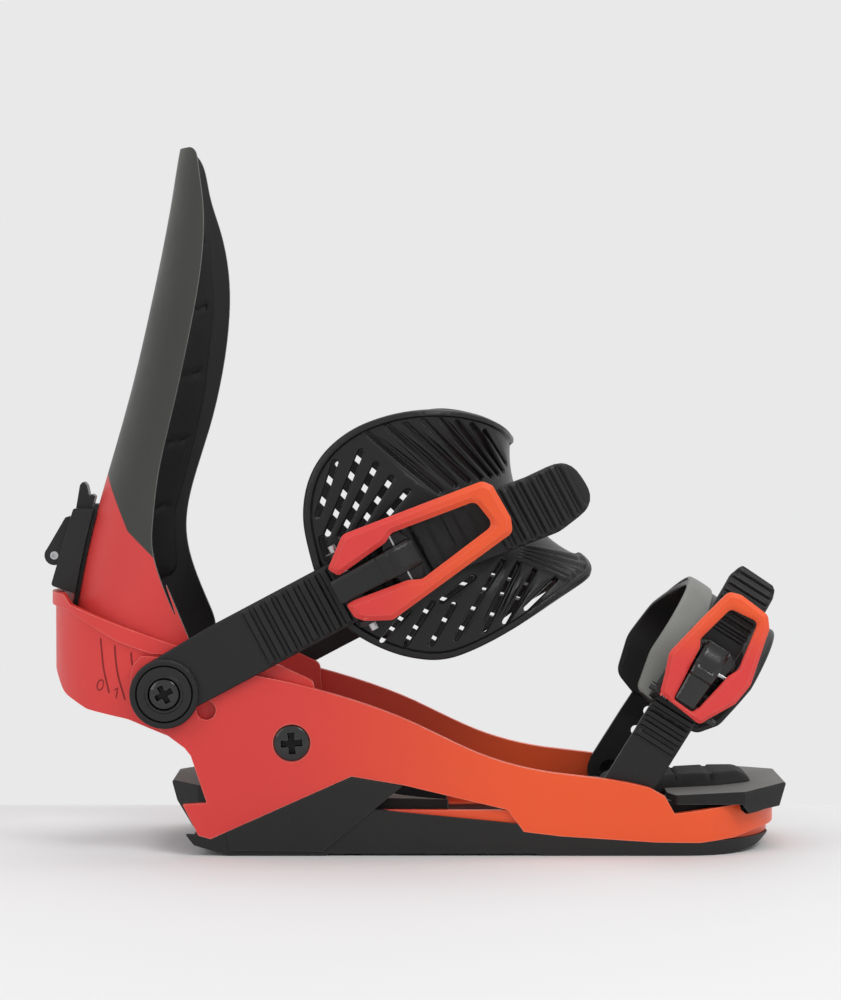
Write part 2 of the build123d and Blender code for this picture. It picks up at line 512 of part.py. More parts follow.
toe_outline = [(83.0, 74.6, 2), (85.1, 82.4), (87.2, 92.9, 6), (101.6, 108.1, 6), (114.0, 120.4, 3), (119.7, 118.9, 3),
               (131.6, 109.8, 3), (132.3, 103.6, 6), (123.8, 78.0, 4), (116.9, 69.6), (104.5, 62.7), (101.0, 60.2, 2)]
toe_window = [(89.2, 72.0), (101.0, 95.2, 3), (101.2, 99.2, 3), (114.8, 112.7, 3), (127.3, 106.6, 3), (118.4, 85.0, 3),
              (113.8, 82.1, 3), (101.1, 68.3), (97.6, 66.0)]
ratchet("toe", toe_buckle, toe_angle, -46.0, -55.6, 13.8, toe_window, toe_outline, 0.8, 0.9, 0)
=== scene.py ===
import math

import bmesh
import bpy
import numpy as np
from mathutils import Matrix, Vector
from mathutils.geometry import delaunay_2d_cdt


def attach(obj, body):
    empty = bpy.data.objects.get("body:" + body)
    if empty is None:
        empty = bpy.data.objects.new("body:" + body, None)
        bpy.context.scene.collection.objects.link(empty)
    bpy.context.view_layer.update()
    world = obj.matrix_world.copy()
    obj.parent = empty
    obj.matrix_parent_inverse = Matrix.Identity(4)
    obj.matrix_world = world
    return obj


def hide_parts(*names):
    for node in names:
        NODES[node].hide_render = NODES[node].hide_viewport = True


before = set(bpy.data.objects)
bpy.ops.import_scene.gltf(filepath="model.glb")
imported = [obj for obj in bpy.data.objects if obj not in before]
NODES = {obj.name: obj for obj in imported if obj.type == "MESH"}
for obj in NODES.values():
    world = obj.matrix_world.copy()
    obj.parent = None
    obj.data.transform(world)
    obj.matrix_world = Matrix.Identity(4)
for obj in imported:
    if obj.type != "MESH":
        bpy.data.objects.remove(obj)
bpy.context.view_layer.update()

MM = 0.001
SHARP = math.radians(38)           # edges sharper than this stay sharp
MIX_A, MIX_B, MIX_OUT = 6, 7, 2    # a Mix node's colour sockets
PAINT_RED, PAINT_ORANGE = (0.66, 0.040, 0.036), (0.80, 0.088, 0.017)
SHELL_OLIVE, SHELL_RED = (0.036, 0.038, 0.032), (0.60, 0.045, 0.042)
BACK_LEAN, BACK_FOOT = 0.19, -0.136    # the highback's axis: x = lean * z + foot, in metres


# ------------------------------------------------------------------ materials
def new_material(name):
    mat = bpy.data.materials.new(name)
    mat.use_nodes = True
    return mat, mat.node_tree, mat.node_tree.nodes["Principled BSDF"]


def feed(tree, source, socket):
    """Link a socket to source, or set source on it as a value or a colour."""
    if isinstance(source, bpy.types.NodeSocket):
        tree.links.new(source, socket)
    elif socket.type == "RGBA":
        socket.default_value = (*source, 1)
    else:
        socket.default_value = source


def add(tree, kind, *sources, **values):
    """A shader node. Sources feed its first inputs, in_Name sets an input, other keywords set properties."""
    node = tree.nodes.new("ShaderNode" + kind)
    for key, value in values.items():
        if key.startswith("in_"):
            node.inputs[key[3:].replace("_", " ")].default_value = value
        else:
            setattr(node, key, value)
    for source, socket in zip(sources, node.inputs):
        feed(tree, source, socket)
    return node


def place_of(tree):
    return add(tree, "TexCoord").outputs["Object"]


def noise(tree, scale, detail=2.0, rough=0.5):
    node = add(tree, "TexNoise", place_of(tree), in_Scale=scale, in_Detail=detail, in_Roughness=rough)
    return node.outputs["Fac"]


def span(tree, source, low, high, to_low=0.0, to_high=1.0, kind="LINEAR"):
    """The range low to high of source, turned into to_low to to_high."""
    node = add(tree, "MapRange", source, low, high, to_low, to_high, interpolation_type=kind)
    return node.outputs["Result"]


def dot(tree, a, b):
    return add(tree, "VectorMath", a, b, operation="DOT_PRODUCT").outputs["Value"]


def mixed(tree, factor, first, second):
    """Two colours mixed by factor."""
    node = add(tree, "Mix", factor, data_type="RGBA")
    feed(tree, first, node.inputs[MIX_A])
    feed(tree, second, node.inputs[MIX_B])
    return node.outputs[MIX_OUT]


def bumped(tree, shader, height, strength, distance):
    bump = add(tree, "Bump", in_Strength=strength, in_Distance=distance)
    feed(tree, height, bump.inputs["Height"])
    feed(tree, bump.outputs["Normal"], shader.inputs["Normal"])


def edge_mask(tree, radius, low, high):
    """1 along convex and concave edges, 0 on open faces."""
    soft = add(tree, "Bevel", samples=6, in_Radius=radius)
    facing = dot(tree, soft.outputs["Normal"], add(tree, "NewGeometry").outputs["Normal"])
    return span(tree, facing, low, high, 1.0, 0.0)


def surface(tree, shader, colour, rough, grain, depth, patches, spread, wear_and_edge_light=None):
    """Shared finish: colour drift, roughness drift, moulded grain and a lighter tone on edges that is partly
    wear and partly painted edge highlight.
    """
    drift = add(tree, "HueSaturation")
    value = span(tree, noise(tree, patches, 3.0, 0.6), 0.3, 0.7, 1 - spread, 1 + spread)
    feed(tree, value, drift.inputs["Value"])
    feed(tree, colour, drift.inputs["Color"])
    out = drift.outputs["Color"]
    if wear_and_edge_light:
        width, tone = wear_and_edge_light
        # Lighter edges speckled by noise: partly wear, partly painted highlight where light catches the
        # edges.
        mask = edge_mask(tree, width, 0.80, 0.97)
        rubbed_and_edge_lit = add(tree, "Math", mask, noise(tree, 260.0, 4.0), operation="MULTIPLY")
        out = mixed(tree, rubbed_and_edge_lit.outputs["Value"], out, tone)
    feed(tree, out, shader.inputs["Base Color"])
    gloss = span(tree, noise(tree, 38.0, 5.0, 0.65), 0.3, 0.7, rough - 0.06, rough + 0.06)
    feed(tree, gloss, shader.inputs["Roughness"])
    bumped(tree, shader, noise(tree, grain), depth, 0.0002)


def moulded(name, colour, rough, grain, depth, specular, spread=0.12, patches=9.0, wear_and_edge_light=None):
    """Moulded plastic or rubber; the last argument gives the width in metres and the tone of the lighter
    edges, partly wear and partly painted edge highlight.
    """
    mat, tree, shader = new_material(name)
    if wear_and_edge_light:
        wear_and_edge_light = (wear_and_edge_light[0], (wear_and_edge_light[1],) * 3)
    surface(tree, shader, colour, rough, grain, depth, patches, spread, wear_and_edge_light)
    shader.inputs["Specular IOR Level"].default_value = specular
    return mat


def sloped(tree, direction, low, high, kind="LINEAR"):
    """0 to 1 across a plane: object place along direction, between low and high metres."""
    return span(tree, dot(tree, place_of(tree), direction), low, high, kind=kind)


def faded_paint(name, start, end, axis=(1, 0, 0)):
    """Paint that runs from red to orange along a direction, from start to end in metres."""
    mat, tree, shader = new_material(name)
    paint = mixed(tree, sloped(tree, axis, start, end, "SMOOTHSTEP"), PAINT_RED, PAINT_ORANGE)
    # The pink edge tone is partly worn paint and partly painted edge highlight.
    surface(tree, shader, paint, 0.42, 2600.0, 0.25, 7.0, 0.035, (0.0007, (0.95, 0.42, 0.33)))
    shader.inputs["Specular IOR Level"].default_value = 0.42
    return mat


def bare_metal(name, tone, rough):
    """Metal with fine lines in its tone, gloss and surface."""
    mat, tree, shader = new_material(name)
    lines = noise(tree, 900.0, 3.0)
    feed(tree, span(tree, lines, 0.0, 1.0, rough - 0.08, rough + 0.12), shader.inputs["Roughness"])
    feed(tree, mixed(tree, lines, [c * 0.85 for c in tone], tone), shader.inputs["Base Color"])
    bumped(tree, shader, lines, 0.15, 0.0001)
    shader.inputs["Metallic"].default_value = 1.0
    return mat


def two_tone(name, first, second, mask, rough, specular):
    """Moulded finish that turns from first to second by mask. Functions among them take the tree."""
    mat, tree, shader = new_material(name)
    factor, first, second = (v(tree) if callable(v) else v for v in (mask, first, second))
    colour = mixed(tree, factor, first, second)
    # The grey edge tone is partly wear and partly painted edge highlight.
    surface(tree, shader, colour, rough, 1900.0, 0.35, 9.0, 0.08, (0.0006, (0.16, 0.16, 0.15)))
    shader.inputs["Specular IOR Level"].default_value = specular
    return mat


def upward(tree):
    """1 on faces that look up; the footbed uses it to paint the light that falls on its top."""
    normal = add(tree, "SeparateXYZ", add(tree, "TexCoord").outputs["Normal"])
    return span(tree, normal.outputs["Z"], 0.80, 0.93)


def inner_face(tree):
    """1 on the side of the highback that looks at its own axis."""
    place = add(tree, "SeparateXYZ", place_of(tree)).outputs
    axis = add(tree, "Math", place["Z"], BACK_LEAN, BACK_FOOT, operation="MULTIPLY_ADD").outputs["Value"]
    from_axis = add(tree, "Math", place["X"], axis, operation="SUBTRACT").outputs["Value"]
    spoke = add(tree, "CombineXYZ", from_axis, place["Y"]).outputs["Vector"]
    local = add(tree, "VectorTransform", add(tree, "NewGeometry").outputs["True Normal"],
                vector_type="NORMAL", convert_from="WORLD", convert_to="OBJECT")
    return span(tree, dot(tree, spoke, local.outputs["Vector"]), 0.003, -0.003)


def back_outside(tree):
    """Olive shell with the red field at its foot."""
    steep = sloped(tree, (0.910, 0, 0.415), -0.0838, -0.0842)
    shallow = sloped(tree, (0.690, 0, 0.724), -0.0035, -0.0039)
    either = add(tree, "Math", steep, shallow, operation="MAXIMUM").outputs["Value"]
    return mixed(tree, either, SHELL_OLIVE, SHELL_RED)


FRAME_PAINT = faded_paint("frame_paint", -0.105, 0.035)
CUP_PAINT = faded_paint("heelcup_paint", -0.105, 0.035)
ANKLE_PAINT = faded_paint("ankle_lever_paint", -0.042, 0.004, axis=(0.88, 0, 0.0))
TOE_PAINT = faded_paint("toe_lever_paint", 0.086, 0.112, axis=(0, 0, 1))
# The wear tones below lighten edges: partly wear, partly painted edge highlight, as on the screw heads.
# name, colour, roughness, grain, bump strength, specular level, then colour spread and patch scale
CHASSIS = moulded("chassis_black", (0.0135, 0.0135, 0.013), 0.5, 1800.0, 0.4, 0.30, 0.14, wear_and_edge_light=(0.0006, 0.07))
BUCKLE = moulded("buckle_nylon", (0.012, 0.0125, 0.012), 0.34, 1600.0, 0.3, 0.34, wear_and_edge_light=(0.0005, 0.07))
GLOSS = moulded("buckle_gloss", (0.006, 0.006, 0.006), 0.16, 1600.0, 0.1, 0.55, wear_and_edge_light=(0.0005, 0.08))
STRAP = moulded("strap_urethane", (0.0115, 0.0115, 0.0118), 0.44, 2400.0, 0.3, 0.30, wear_and_edge_light=(0.0005, 0.06))
PAD = moulded("pad_urethane", (0.0075, 0.0075, 0.0078), 0.36, 2400.0, 0.3, 0.34, wear_and_edge_light=(0.0005, 0.06))
GREY = moulded("soft_urethane", (0.19, 0.195, 0.18), 0.5, 900.0, 0.6, 0.35, 0.10, 30.0)
BLACK_STEEL = moulded("screw_black", (0.006, 0.006, 0.0062), 0.15, 700.0, 0.1, 0.6, 0.2, wear_and_edge_light=(0.0004, 0.16))
# Near-black for the inside of the screws' cross recesses: painted shade in the recesses.
PAINTED_RECESS_SHADE = moulded("screw_recess_painted_shade", (0.0015, 0.0015, 0.0015), 0.3, 700.0, 0.1, 0.2, 0.2, wear_and_edge_light=(0.0002, 0.2))
CUSHION = moulded("cushion_foam", (0.013, 0.013, 0.013), 0.66, 3200.0, 0.7, 0.25, 0.16, 14.0)
SCRIBE = moulded("scribe_red", (0.20, 0.012, 0.011), 0.6, 2000.0, 0.2, 0.3, 0.1)
BACK = two_tone("highback_shell", back_outside, (0.012, 0.012, 0.0125), inner_face, 0.44, 0.34)
# Black foam that turns grey on faces that look up: the grey is painted light falling on the top.
FOAM_WITH_PAINTED_TOP_LIGHT = two_tone("footbed_foam_painted_top_light", (0.014, 0.014, 0.014), (0.16, 0.155, 0.147), upward, 0.62, 0.25)
STEEL = bare_metal("bright_steel", (0.55, 0.55, 0.56), 0.28)

LOOKS = {
    FRAME_PAINT: ["side_frame"],
    CUP_PAINT: ["heelcup"],
    ANKLE_PAINT: ["ankle_lever"],
    TOE_PAINT: ["toe_lever"],
    CHASSIS: ["lower_chassis", "mount_disc"],
    FOAM_WITH_PAINTED_TOP_LIGHT: ["heel_footbed", "toe_footbed", "heel_cushion", "toe_cushion"],
    BACK: ["highback"],
    CUSHION: ["highback_pad"],
    GLOSS: ["toe_release_lever"],
    BUCKLE: ["lean_block", "lean_lever", "lean_track", "ankle_release_lever", "ankle_drive_pawl",
             "toe_drive_pawl", "ankle_buckle_base", "toe_buckle_base", "strap_discs"],
    STRAP: ["ankle_ladder", "ankle_medial_arm", "ankle_pad", "toe_ladder", "toe_medial_arm", "toe_cap"],
    GREY: ["toe_cap_band"],
    BLACK_STEEL: ["toe_lever_axle", "heelcup_screws", "strap_screws", "toe_strap_screws", "ankle_pad_screw",
                  "toe_cap_screw"],
    STEEL: ["lean_pin", "heelcup_nuts", "strap_nuts", "ankle_lever_axle", "ankle_release_pin",
            "toe_release_pin", "ankle_lever_spring", "toe_lever_spring", "ankle_buckle_rivets",
            "toe_buckle_rivets"],
}
for look, names in LOOKS.items():
    for name in names:
        mesh = NODES[name].data
        mesh.materials.clear()
        mesh.materials.append(look)


# ---------------------------------------------------------------- edge rounding
def round_edges(name, width, segments=2):
    """Dissolve the flat triangles and put a small round on the sharp edges."""
    obj = NODES[name]
    flat = obj.modifiers.new("flat", "DECIMATE")
    flat.decimate_type = "DISSOLVE"
    flat.angle_limit = math.radians(0.8)
    bevel = obj.modifiers.new("round", "BEVEL")
    bevel.width = width * MM
    bevel.segments = segments
    bevel.limit_method = "ANGLE"
    bevel.angle_limit = math.radians(32)
    bevel.harden_normals = False
    bevel.use_clamp_overlap = True


ROUNDS = {
    "side_frame": 1.1, "lower_chassis": 0.5, "heelcup": 1.0, "highback": 0.9, "lean_block": 0.5,
    "lean_lever": 0.4, "ankle_buckle_base": 0.4, "toe_buckle_base": 0.4, "ankle_medial_arm": 0.6,
    "toe_medial_arm": 0.5, "heel_footbed": 0.8, "toe_footbed": 0.8,
}
for name, width in ROUNDS.items():
    round_edges(name, width)


# ---------------------------------------------------------- relief mesh builder
def smooth_loop(corners, steps=6, gap=1.2):
    """Closed outline of corners (u, v) or (u, v, rounding radius), with points at most gap apart."""
    out, n = [], len(corners)
    for i, corner in enumerate(corners):
        p = Vector(corner[:2])
        a, b = Vector(corners[i - 1][:2]) - p, Vector(corners[(i + 1) % n][:2]) - p
        r = corner[2] if len(corner) == 3 else 0
        if r == 0:
            out.append(p)
            continue
        half = a.angle(b) / 2
        reach = min(r / math.tan(half), a.length * 0.49, b.length * 0.49)
        start, end = p + a.normalized() * reach, p + b.normalized() * reach
        for k in range(steps + 1):
            t = k / steps
            out.append(start * (1 - t) ** 2 + p * 2 * t * (1 - t) + end * t * t)
    return refine(out, gap, True)


def curve_loop(points, gap=1.4, closed=True):
    """Smooth curve through the points."""
    pts = [Vector(p[:2]) for p in points]
    n, out = len(pts), []
    for i in range(n if closed else n - 1):
        p0 = pts[i - 1] if closed or i > 0 else pts[0]
        p1, p2 = pts[i], pts[(i + 1) % n]
        p3 = pts[(i + 2) % n] if closed or i + 2 < n else pts[-1]
        steps = max(2, math.ceil((p2 - p1).length / gap))
        for k in range(steps):
            t = k / steps
            a, b, c = 2 * p1, p2 - p0, 2 * p0 - 5 * p1 + 4 * p2 - p3
            d = -p0 + 3 * p1 - 3 * p2 + p3
            out.append(0.5 * (a + b * t + c * t * t + d * t ** 3))
    if not closed:
        out.append(pts[-1])
    return out


def refine(points, gap, closed):
    """The same run of points with none further than gap apart."""
    out = []
    points = [Vector(p) for p in points]
    for i in range(len(points) if closed else len(points) - 1):
        a, b = points[i], points[(i + 1) % len(points)]
        if (b - a).length < 1e-6:
            continue
        n = max(1, math.ceil((b - a).length / gap))
        out += [a.lerp(b, k / n) for k in range(n)]
    if not closed:
        out.append(points[-1])
    return out


def signed_area(loop):
    return 0.5 * sum(a.x * b.y - b.x * a.y for a, b in zip(loop, loop[1:] + loop[:1]))


def offset(loop, distance):
    """Loop moved inward (positive) by distance."""
    sign = 1 if signed_area(loop) > 0 else -1
    out, n = [], len(loop)
    for i in range(n):
        a, b, c = loop[i - 1], loop[i], loop[(i + 1) % n]
        d1, d2 = (b - a).normalized(), (c - b).normalized()
        normal = Vector((-(d1.y + d2.y), d1.x + d2.x)) * sign
        if normal.length < 1e-6:
            normal = Vector((-d1.y, d1.x)) * sign
        normal.normalize()
        spread = max(0.5, Vector((-d1.y, d1.x)).dot(normal) * sign)
        out.append(b + normal * min(distance / spread, distance * 1.6))
    return out


def inside(points, loop):
    """Even-odd test of an array of points against a loop."""
    poly = np.array([(p.x, p.y) for p in loop])
    x, y = points[:, 0:1], points[:, 1:2]
    x0, y0 = poly[:, 0], poly[:, 1]
    x1, y1 = np.roll(x0, -1), np.roll(y0, -1)
    cross = (y0 > y) != (y1 > y)
    with np.errstate(divide="ignore", invalid="ignore"):
        at = x0 + (y - y0) * (x1 - x0) / (y1 - y0)
    return (cross & (x < at)).sum(1) % 2 == 1


def distance_to(points, lines, closed=True):
    """Distance from each point to the nearest of the lines."""
    best = np.full(len(points), 1e9)
    for line in lines:
        path = np.array([(p[0], p[1]) for p in line])
        if closed:
            path = np.vstack([path, path[:1]])
        for a, b in zip(path[:-1], path[1:]):
            d = b - a
            t = np.clip(((points - a) @ d) / max(d @ d, 1e-12), 0, 1)
            best = np.minimum(best, np.hypot(*(points - (a + t[:, None] * d)).T))
    return best


def within(lines, outline, margin):
    """Open crease lines: what lies inside the outline by margin, without the runs of one or two points."""
    rim = offset(outline, margin)
    runs = [[p for p in line if inside(np.array([(p.x, p.y)]), rim)[0]] for line in lines]
    return [(run, False) for run in runs if len(run) > 2]


def rounded(d, r):
    """How far a surface drops at distance d from its edge, for a rounded edge of radius r."""
    d = np.clip(d, 0, r)
    return r - np.sqrt(np.maximum(r * r - (r - d) ** 2, 0))


def level(w, r=0.0):
    """Height function: flat at w, or rounded upward to it from an edge of radius r."""
    return lambda u, v, d: w + (rounded(d, r) if r else 0 * d)


def step01(x, low, high):
    t = np.clip((x - low) / (high - low), 0, 1)
    return t * t * (3 - 2 * t)


def relief(name, outline, top, bottom, place, holes=(), creases=(), grid=2.0, edge=0.6, open_edge=None):
    """Closed plate over an outline in (u, v). top and bottom give heights w from arrays (u, v, distance to
    the edge), and place turns arrays (u, v, w) into X, Y, Z in millimetres."""
    loops = [outline] + list(holes)
    lines = [(loop, True) for loop in loops]
    for loop, sign in [(outline, 1)] + [(h, -1) for h in holes]:
        for part in (0.2, 0.55, 1.0):
            lines.append((offset(loop, sign * edge * part), True))
    lines += list(creases)
    coords, edges = [], []
    for loop, closed in lines:
        base = len(coords)
        coords += [Vector((p[0], p[1])) for p in loop]
        count = len(loop)
        edges += [(base + i, base + (i + 1) % count) for i in range(count if closed else count - 1)]
    us, vs = [p.x for p in outline], [p.y for p in outline]
    gu = np.arange(min(us) + grid / 2, max(us), grid)
    gv = np.arange(min(vs) + grid / 2, max(vs), grid)
    mesh_grid = [(u, v + (grid / 2 if i % 2 else 0)) for i, u in enumerate(gu) for v in gv]
    mesh_grid = np.array(mesh_grid).reshape(-1, 2)
    keep = inside(mesh_grid, outline)
    for h in holes:
        keep &= ~inside(mesh_grid, h)
    mesh_grid = mesh_grid[keep]
    far = distance_to(mesh_grid, [loop for loop, closed in lines if closed]) > grid * 0.3
    coords += [Vector(p) for p in mesh_grid[far]]
    verts, _, faces, *_ = delaunay_2d_cdt(coords, edges, [], 0, 1e-5)
    flat = np.array([(v.x, v.y) for v in verts])
    tris = np.array([f for f in faces if len(f) == 3])
    middle = flat[tris].mean(1)
    keep = inside(middle, outline)
    for h in holes:
        keep &= ~inside(middle, h)
    tris = tris[keep]
    turned = np.cross(flat[tris[:, 1]] - flat[tris[:, 0]], flat[tris[:, 2]] - flat[tris[:, 0]]) < 0
    tris[turned] = tris[turned][:, ::-1]
    used = np.unique(tris)
    index = np.full(len(flat), -1)
    index[used] = np.arange(len(used))
    flat, tris = flat[used], index[tris]
    d = distance_to(flat, loops)
    d[d < 1e-4] = 0
    up = np.column_stack(place(flat[:, 0], flat[:, 1], top(flat[:, 0], flat[:, 1], d)))
    low = np.column_stack(place(flat[:, 0], flat[:, 1], bottom(flat[:, 0], flat[:, 1], d)))
    n = len(flat)
    seen = {}
    for t in tris:
        for a, b in ((t[0], t[1]), (t[1], t[2]), (t[2], t[0])):
            seen[(a, b)] = True
    faces = [tuple(int(i) for i in t) for t in tris] + [tuple(int(i) + n for i in t[::-1]) for t in tris]
    for a, b in seen:
        if (b, a) in seen:
            continue
        if open_edge is not None and open_edge(flat[a]) and open_edge(flat[b]):
            continue
        faces.append((int(b), int(a), int(a) + n, int(b) + n))
    return to_mesh(name, np.vstack([up, low]), faces)


def placed(bm, name):
    """Object in the scene from a bmesh, shaded smooth with its sharp edges kept."""
    bmesh.ops.recalc_face_normals(bm, faces=bm.faces)
    mesh = bpy.data.meshes.new(name)
    bm.to_mesh(mesh)
    bm.free()
    mesh.shade_smooth()
    mesh.set_sharp_from_angle(angle=SHARP)
    obj = bpy.data.objects.new(name, mesh)
    bpy.context.scene.collection.objects.link(obj)
    return obj


def to_mesh(name, points, faces):
    """Object from points in millimetres and their faces."""
    mesh = bpy.data.meshes.new(name)
    mesh.from_pydata([tuple(p * MM) for p in points], [], faces)
    bm = bmesh.new()
    bm.from_mesh(mesh)
    bpy.data.meshes.remove(mesh)
    return placed(bm, name)


def join(objects, name):
    """One object from several, with the points that meet welded."""
    bm = bmesh.new()
    for obj in objects:
        bm.from_mesh(obj.data)
        bpy.data.objects.remove(obj)
    bmesh.ops.remove_doubles(bm, verts=bm.verts, dist=1e-6)
    return placed(bm, name)


def stand_for(piece, look, body, *nodes):
    """Give a piece its material and its body, and hide the CAD nodes that it stands for."""
    piece.data.materials.clear()
    piece.data.materials.append(look)
    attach(piece, body)
    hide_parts(*nodes)
    return piece


def slot_shape(u0, v0, u1, v1, width, steps=5):
    """Long hole with round ends from one point to another."""
    a, b = Vector((u0, v0)), Vector((u1, v1))
    d = (b - a).normalized()
    side = Vector((-d.y, d.x)) * width / 2
    loop = []
    for centre, begin in ((b, -90), (a, 90)):
        for k in range(steps + 1):
            t = math.radians(begin + 180 * k / steps)
            loop.append(centre + d * math.cos(t) * width / 2 + side * math.sin(t))
    return loop


def strap_place(origin, angle, depth):
    """Placer for a strap: u along it, v across, w outward. depth(u) gives its middle's Y and its slope."""
    c, s = math.cos(math.radians(angle)), math.sin(math.radians(angle))

    def place(u, v, w):
        y, slope = depth(u)
        long = 1 / np.sqrt(1 + slope * slope)
        along = u + w * slope * long
        return origin[0] + along * c - v * s, y - w * long, origin[1] + along * s + v * c
    return place


# ------------------------------------------------------------------ ankle pad
SADDLE, CREST_R, ARCH_R, PAD_WALL = Vector((69.3, 182.0)), 52.5, 52.0, 3.6
QUARTER = ARCH_R * math.pi / 2
FAR_DROP = 3.5    # how much lower the far wall sits at its edge


def unroll(x, z):
    """Side place on the pad to its flat pattern round the saddle axis."""
    p = Vector((x, z)) - SADDLE
    rho = max(p.length, CREST_R)
    if rho < CREST_R + ARCH_R:
        s = ARCH_R * math.acos((CREST_R + ARCH_R - rho) / ARCH_R)
    else:
        s = QUARTER + rho - CREST_R - ARCH_R
    return p.normalized() * (CREST_R + s)


def pad_place(side):
    def place(u, v, w):
        rad = np.hypot(u, v)
        s = np.maximum(rad - CREST_R, 0)
        a = np.minimum(s / ARCH_R, math.pi / 2)
        rho = CREST_R + ARCH_R - ARCH_R * np.cos(a) + np.maximum(s - QUARTER, 0) - w * np.cos(a)
        drop = FAR_DROP * step01(s, 60, 95) if side > 0 else 0
        return SADDLE.x + rho * u / rad, side * (ARCH_R + w) * np.sin(a), SADDLE.y + rho * v / rad - drop
    return place


pad_side = curve_loop([
    (17.4, 189.9), (14.2, 193.6), (9.5, 196.6), (2.5, 199.4), (-10, 201.9), (-24.5, 202.2), (-38.8, 200.0),
    (-53.2, 194.8), (-64.4, 187.2), (-72.4, 177.6), (-77.0, 166.0), (-78.2, 152.5), (-75.6, 138),
    (-71.0, 123), (-64.5, 110.0), (-55, 100.8), (-41.6, 93.6), (-28.1, 89.6), (-14.7, 89.0), (-1.2, 93.2),
    (16.7, 102.6), (39.6, 117.5), (51.6, 125.2), (54.4, 128.0), (53.6, 130.8), (51.6, 132.6)], closed=False)
pad_edge = [unroll(*p) for p in pad_side]
pad_edge = [p for p in pad_edge if p.length > CREST_R + 0.8]
first, last = math.atan2(7.9, -51.9), math.atan2(-49.4, -17.7) + 2 * math.pi
crest_line = [Vector((math.cos(a), math.sin(a))) * CREST_R for a in np.linspace(last, first, 46)]
pad_outline = pad_edge + crest_line
pad_rim = [crest_line[-1]] + pad_edge + [crest_line[0]]

near_slots = [
    (-63.5, 178.5, -71.3, 154.3), (-51.8, 183.4, -67.1, 145.8), (-44.9, 177.6, -60.8, 145.4),
    (-38.0, 171.3, -52.3, 148.9), (-30.8, 165.1, -42.4, 151.6), (-69.3, 143.8, -67.0, 135.4),
    (-42.5, 97.5, -31.3, 110.8), (-31.7, 96.5, -20.1, 114.9), (-20.0, 96.5, -10.2, 114.0),
    (-15.1, 116.2, -1.2, 126.4), (-8.8, 99.0, 2.8, 118.4), (4.2, 121.0, 12.4, 133.3),
    (4.2, 102.6, 19.7, 132.2), (13.3, 106.3, 27.4, 128.9), (23.2, 112.3, 37.0, 124.7),
]
crest_slots = [
    (-48.2, 191.0, -16.0, 165.0), (-39.7, 194.7, -9.1, 167.8), (-31.7, 195.6, -2.9, 169.7),
    (-23.6, 197.0, 3.0, 170.8), (-16.0, 197.4, 7.6, 171.7), (-8.4, 196.5, 10.9, 172.5),
    (-1.6, 195.2, 13.3, 173.8), (4.4, 192.4, 14.9, 176.9),
]
far_slots = [
    (-60.9, 185.6, -28.2, 157.3), (-64.8, 178.8, -33.0, 148.7), (-71.3, 173.1, -36.8, 139.5),
    (-73.7, 162.1, -44.4, 134.6), (-75.0, 149.6, -54.0, 130.7), (-39.9, 106.9, -13.1, 91.3),
    (-48.5, 104.1, -27.5, 92.8), (-30, 111, 0, 96.5), (-19.7, 114.9, 12, 103.4), (-8.1, 120.1, 24, 111.4),
    (2, 125, 33, 118),
]
FAN, FAN_FROM, FAN_STEP = Vector((-8.1, 147.4)), -26.0, 2.6


def fan_line(angle):
    """Line of the fan on the flat pattern, from the strap's tip to the crest."""
    d = Vector((math.cos(math.radians(angle)), math.sin(math.radians(angle))))
    run = [FAN + d * t for t in np.arange(29, 62, 1.0)]
    run = [p for p in run if (p - SADDLE).length > CREST_R + 0.05]
    return refine([unroll(*p) for p in run], 2.0, False)


def fan_height(x, z, rim):
    """Ribs that spread from the strap's tip to the crest."""
    dx, dz = x - FAN.x, z - FAN.y
    turn = (np.degrees(np.arctan2(dz, dx)) - FAN_FROM) / FAN_STEP
    wave = 0.5 - 0.5 * np.cos(2 * math.pi * turn)
    zone = step01(np.hypot(dx, dz), 29, 35) * (turn > 0) * (turn < 5)
    return 1.5 * np.sqrt(wave) * zone * step01(rim, 4.4, 7.0)


def pad_half(side, slots, fan):
    """Near (-1) or far (1) half of the pad, with its slots as side places and a width."""
    def top(u, v, d):
        rim = distance_to(np.column_stack([u, v]), [pad_rim], closed=False)
        w = np.where(rim < 4.4, 1.5 * step01(rim, 4.4, 3.2) - rounded(rim, 2.0), -rounded(d, 1.2))
        if fan:
            x, _, z = pad_place(side)(u, v, 0 * u)
            w += fan_height(x, z, rim)
        return w

    def bottom(u, v, d):
        return -PAD_WALL + rounded(distance_to(np.column_stack([u, v]), [pad_rim], closed=False), 1.5)

    creases = [(fan_line(FAN_FROM + FAN_STEP * k / 4), False) for k in range(21)] if fan else []
    creases += [(offset(pad_outline, 3.2), True), (offset(pad_outline, 4.4), True)]
    holes = [slot_shape(*unroll(x0, z0), *unroll(x1, z1), width) for x0, z0, x1, z1, width in slots]
    return relief("half", pad_outline, top, bottom, pad_place(side), holes, creases, grid=2.4, edge=0.9,
                  open_edge=lambda p: math.hypot(*p) < CREST_R + 1e-3)


near_half = pad_half(-1, [(*s, 2.6) for s in near_slots] + [(*s, 2.4) for s in crest_slots], True)
far_half = pad_half(1, [(*s, 3.2 if i < 5 else 1.9) for i, s in enumerate(far_slots)], False)
ankle_pad = join([near_half, far_half], "ankle_pad_lattice")
stand_for(ankle_pad, PAD, "ankle_strap", "ankle_pad")

# --------------------------------------------------------------- ladder straps
PIVOT, STRAP_ANGLE = (-140.7, 74.0), 28.0


def ankle_depth(u):
    over = np.maximum(u - 146, 0)
    return -56.8 + 0.00256 * over ** 2, 0.00512 * over


def arc(r, start, end, n):
    """Points round the origin from one angle to another, in degrees."""
    turns = np.linspace(math.radians(start), math.radians(end), n)
    return [Vector((r * math.cos(a), r * math.sin(a))) for a in turns]


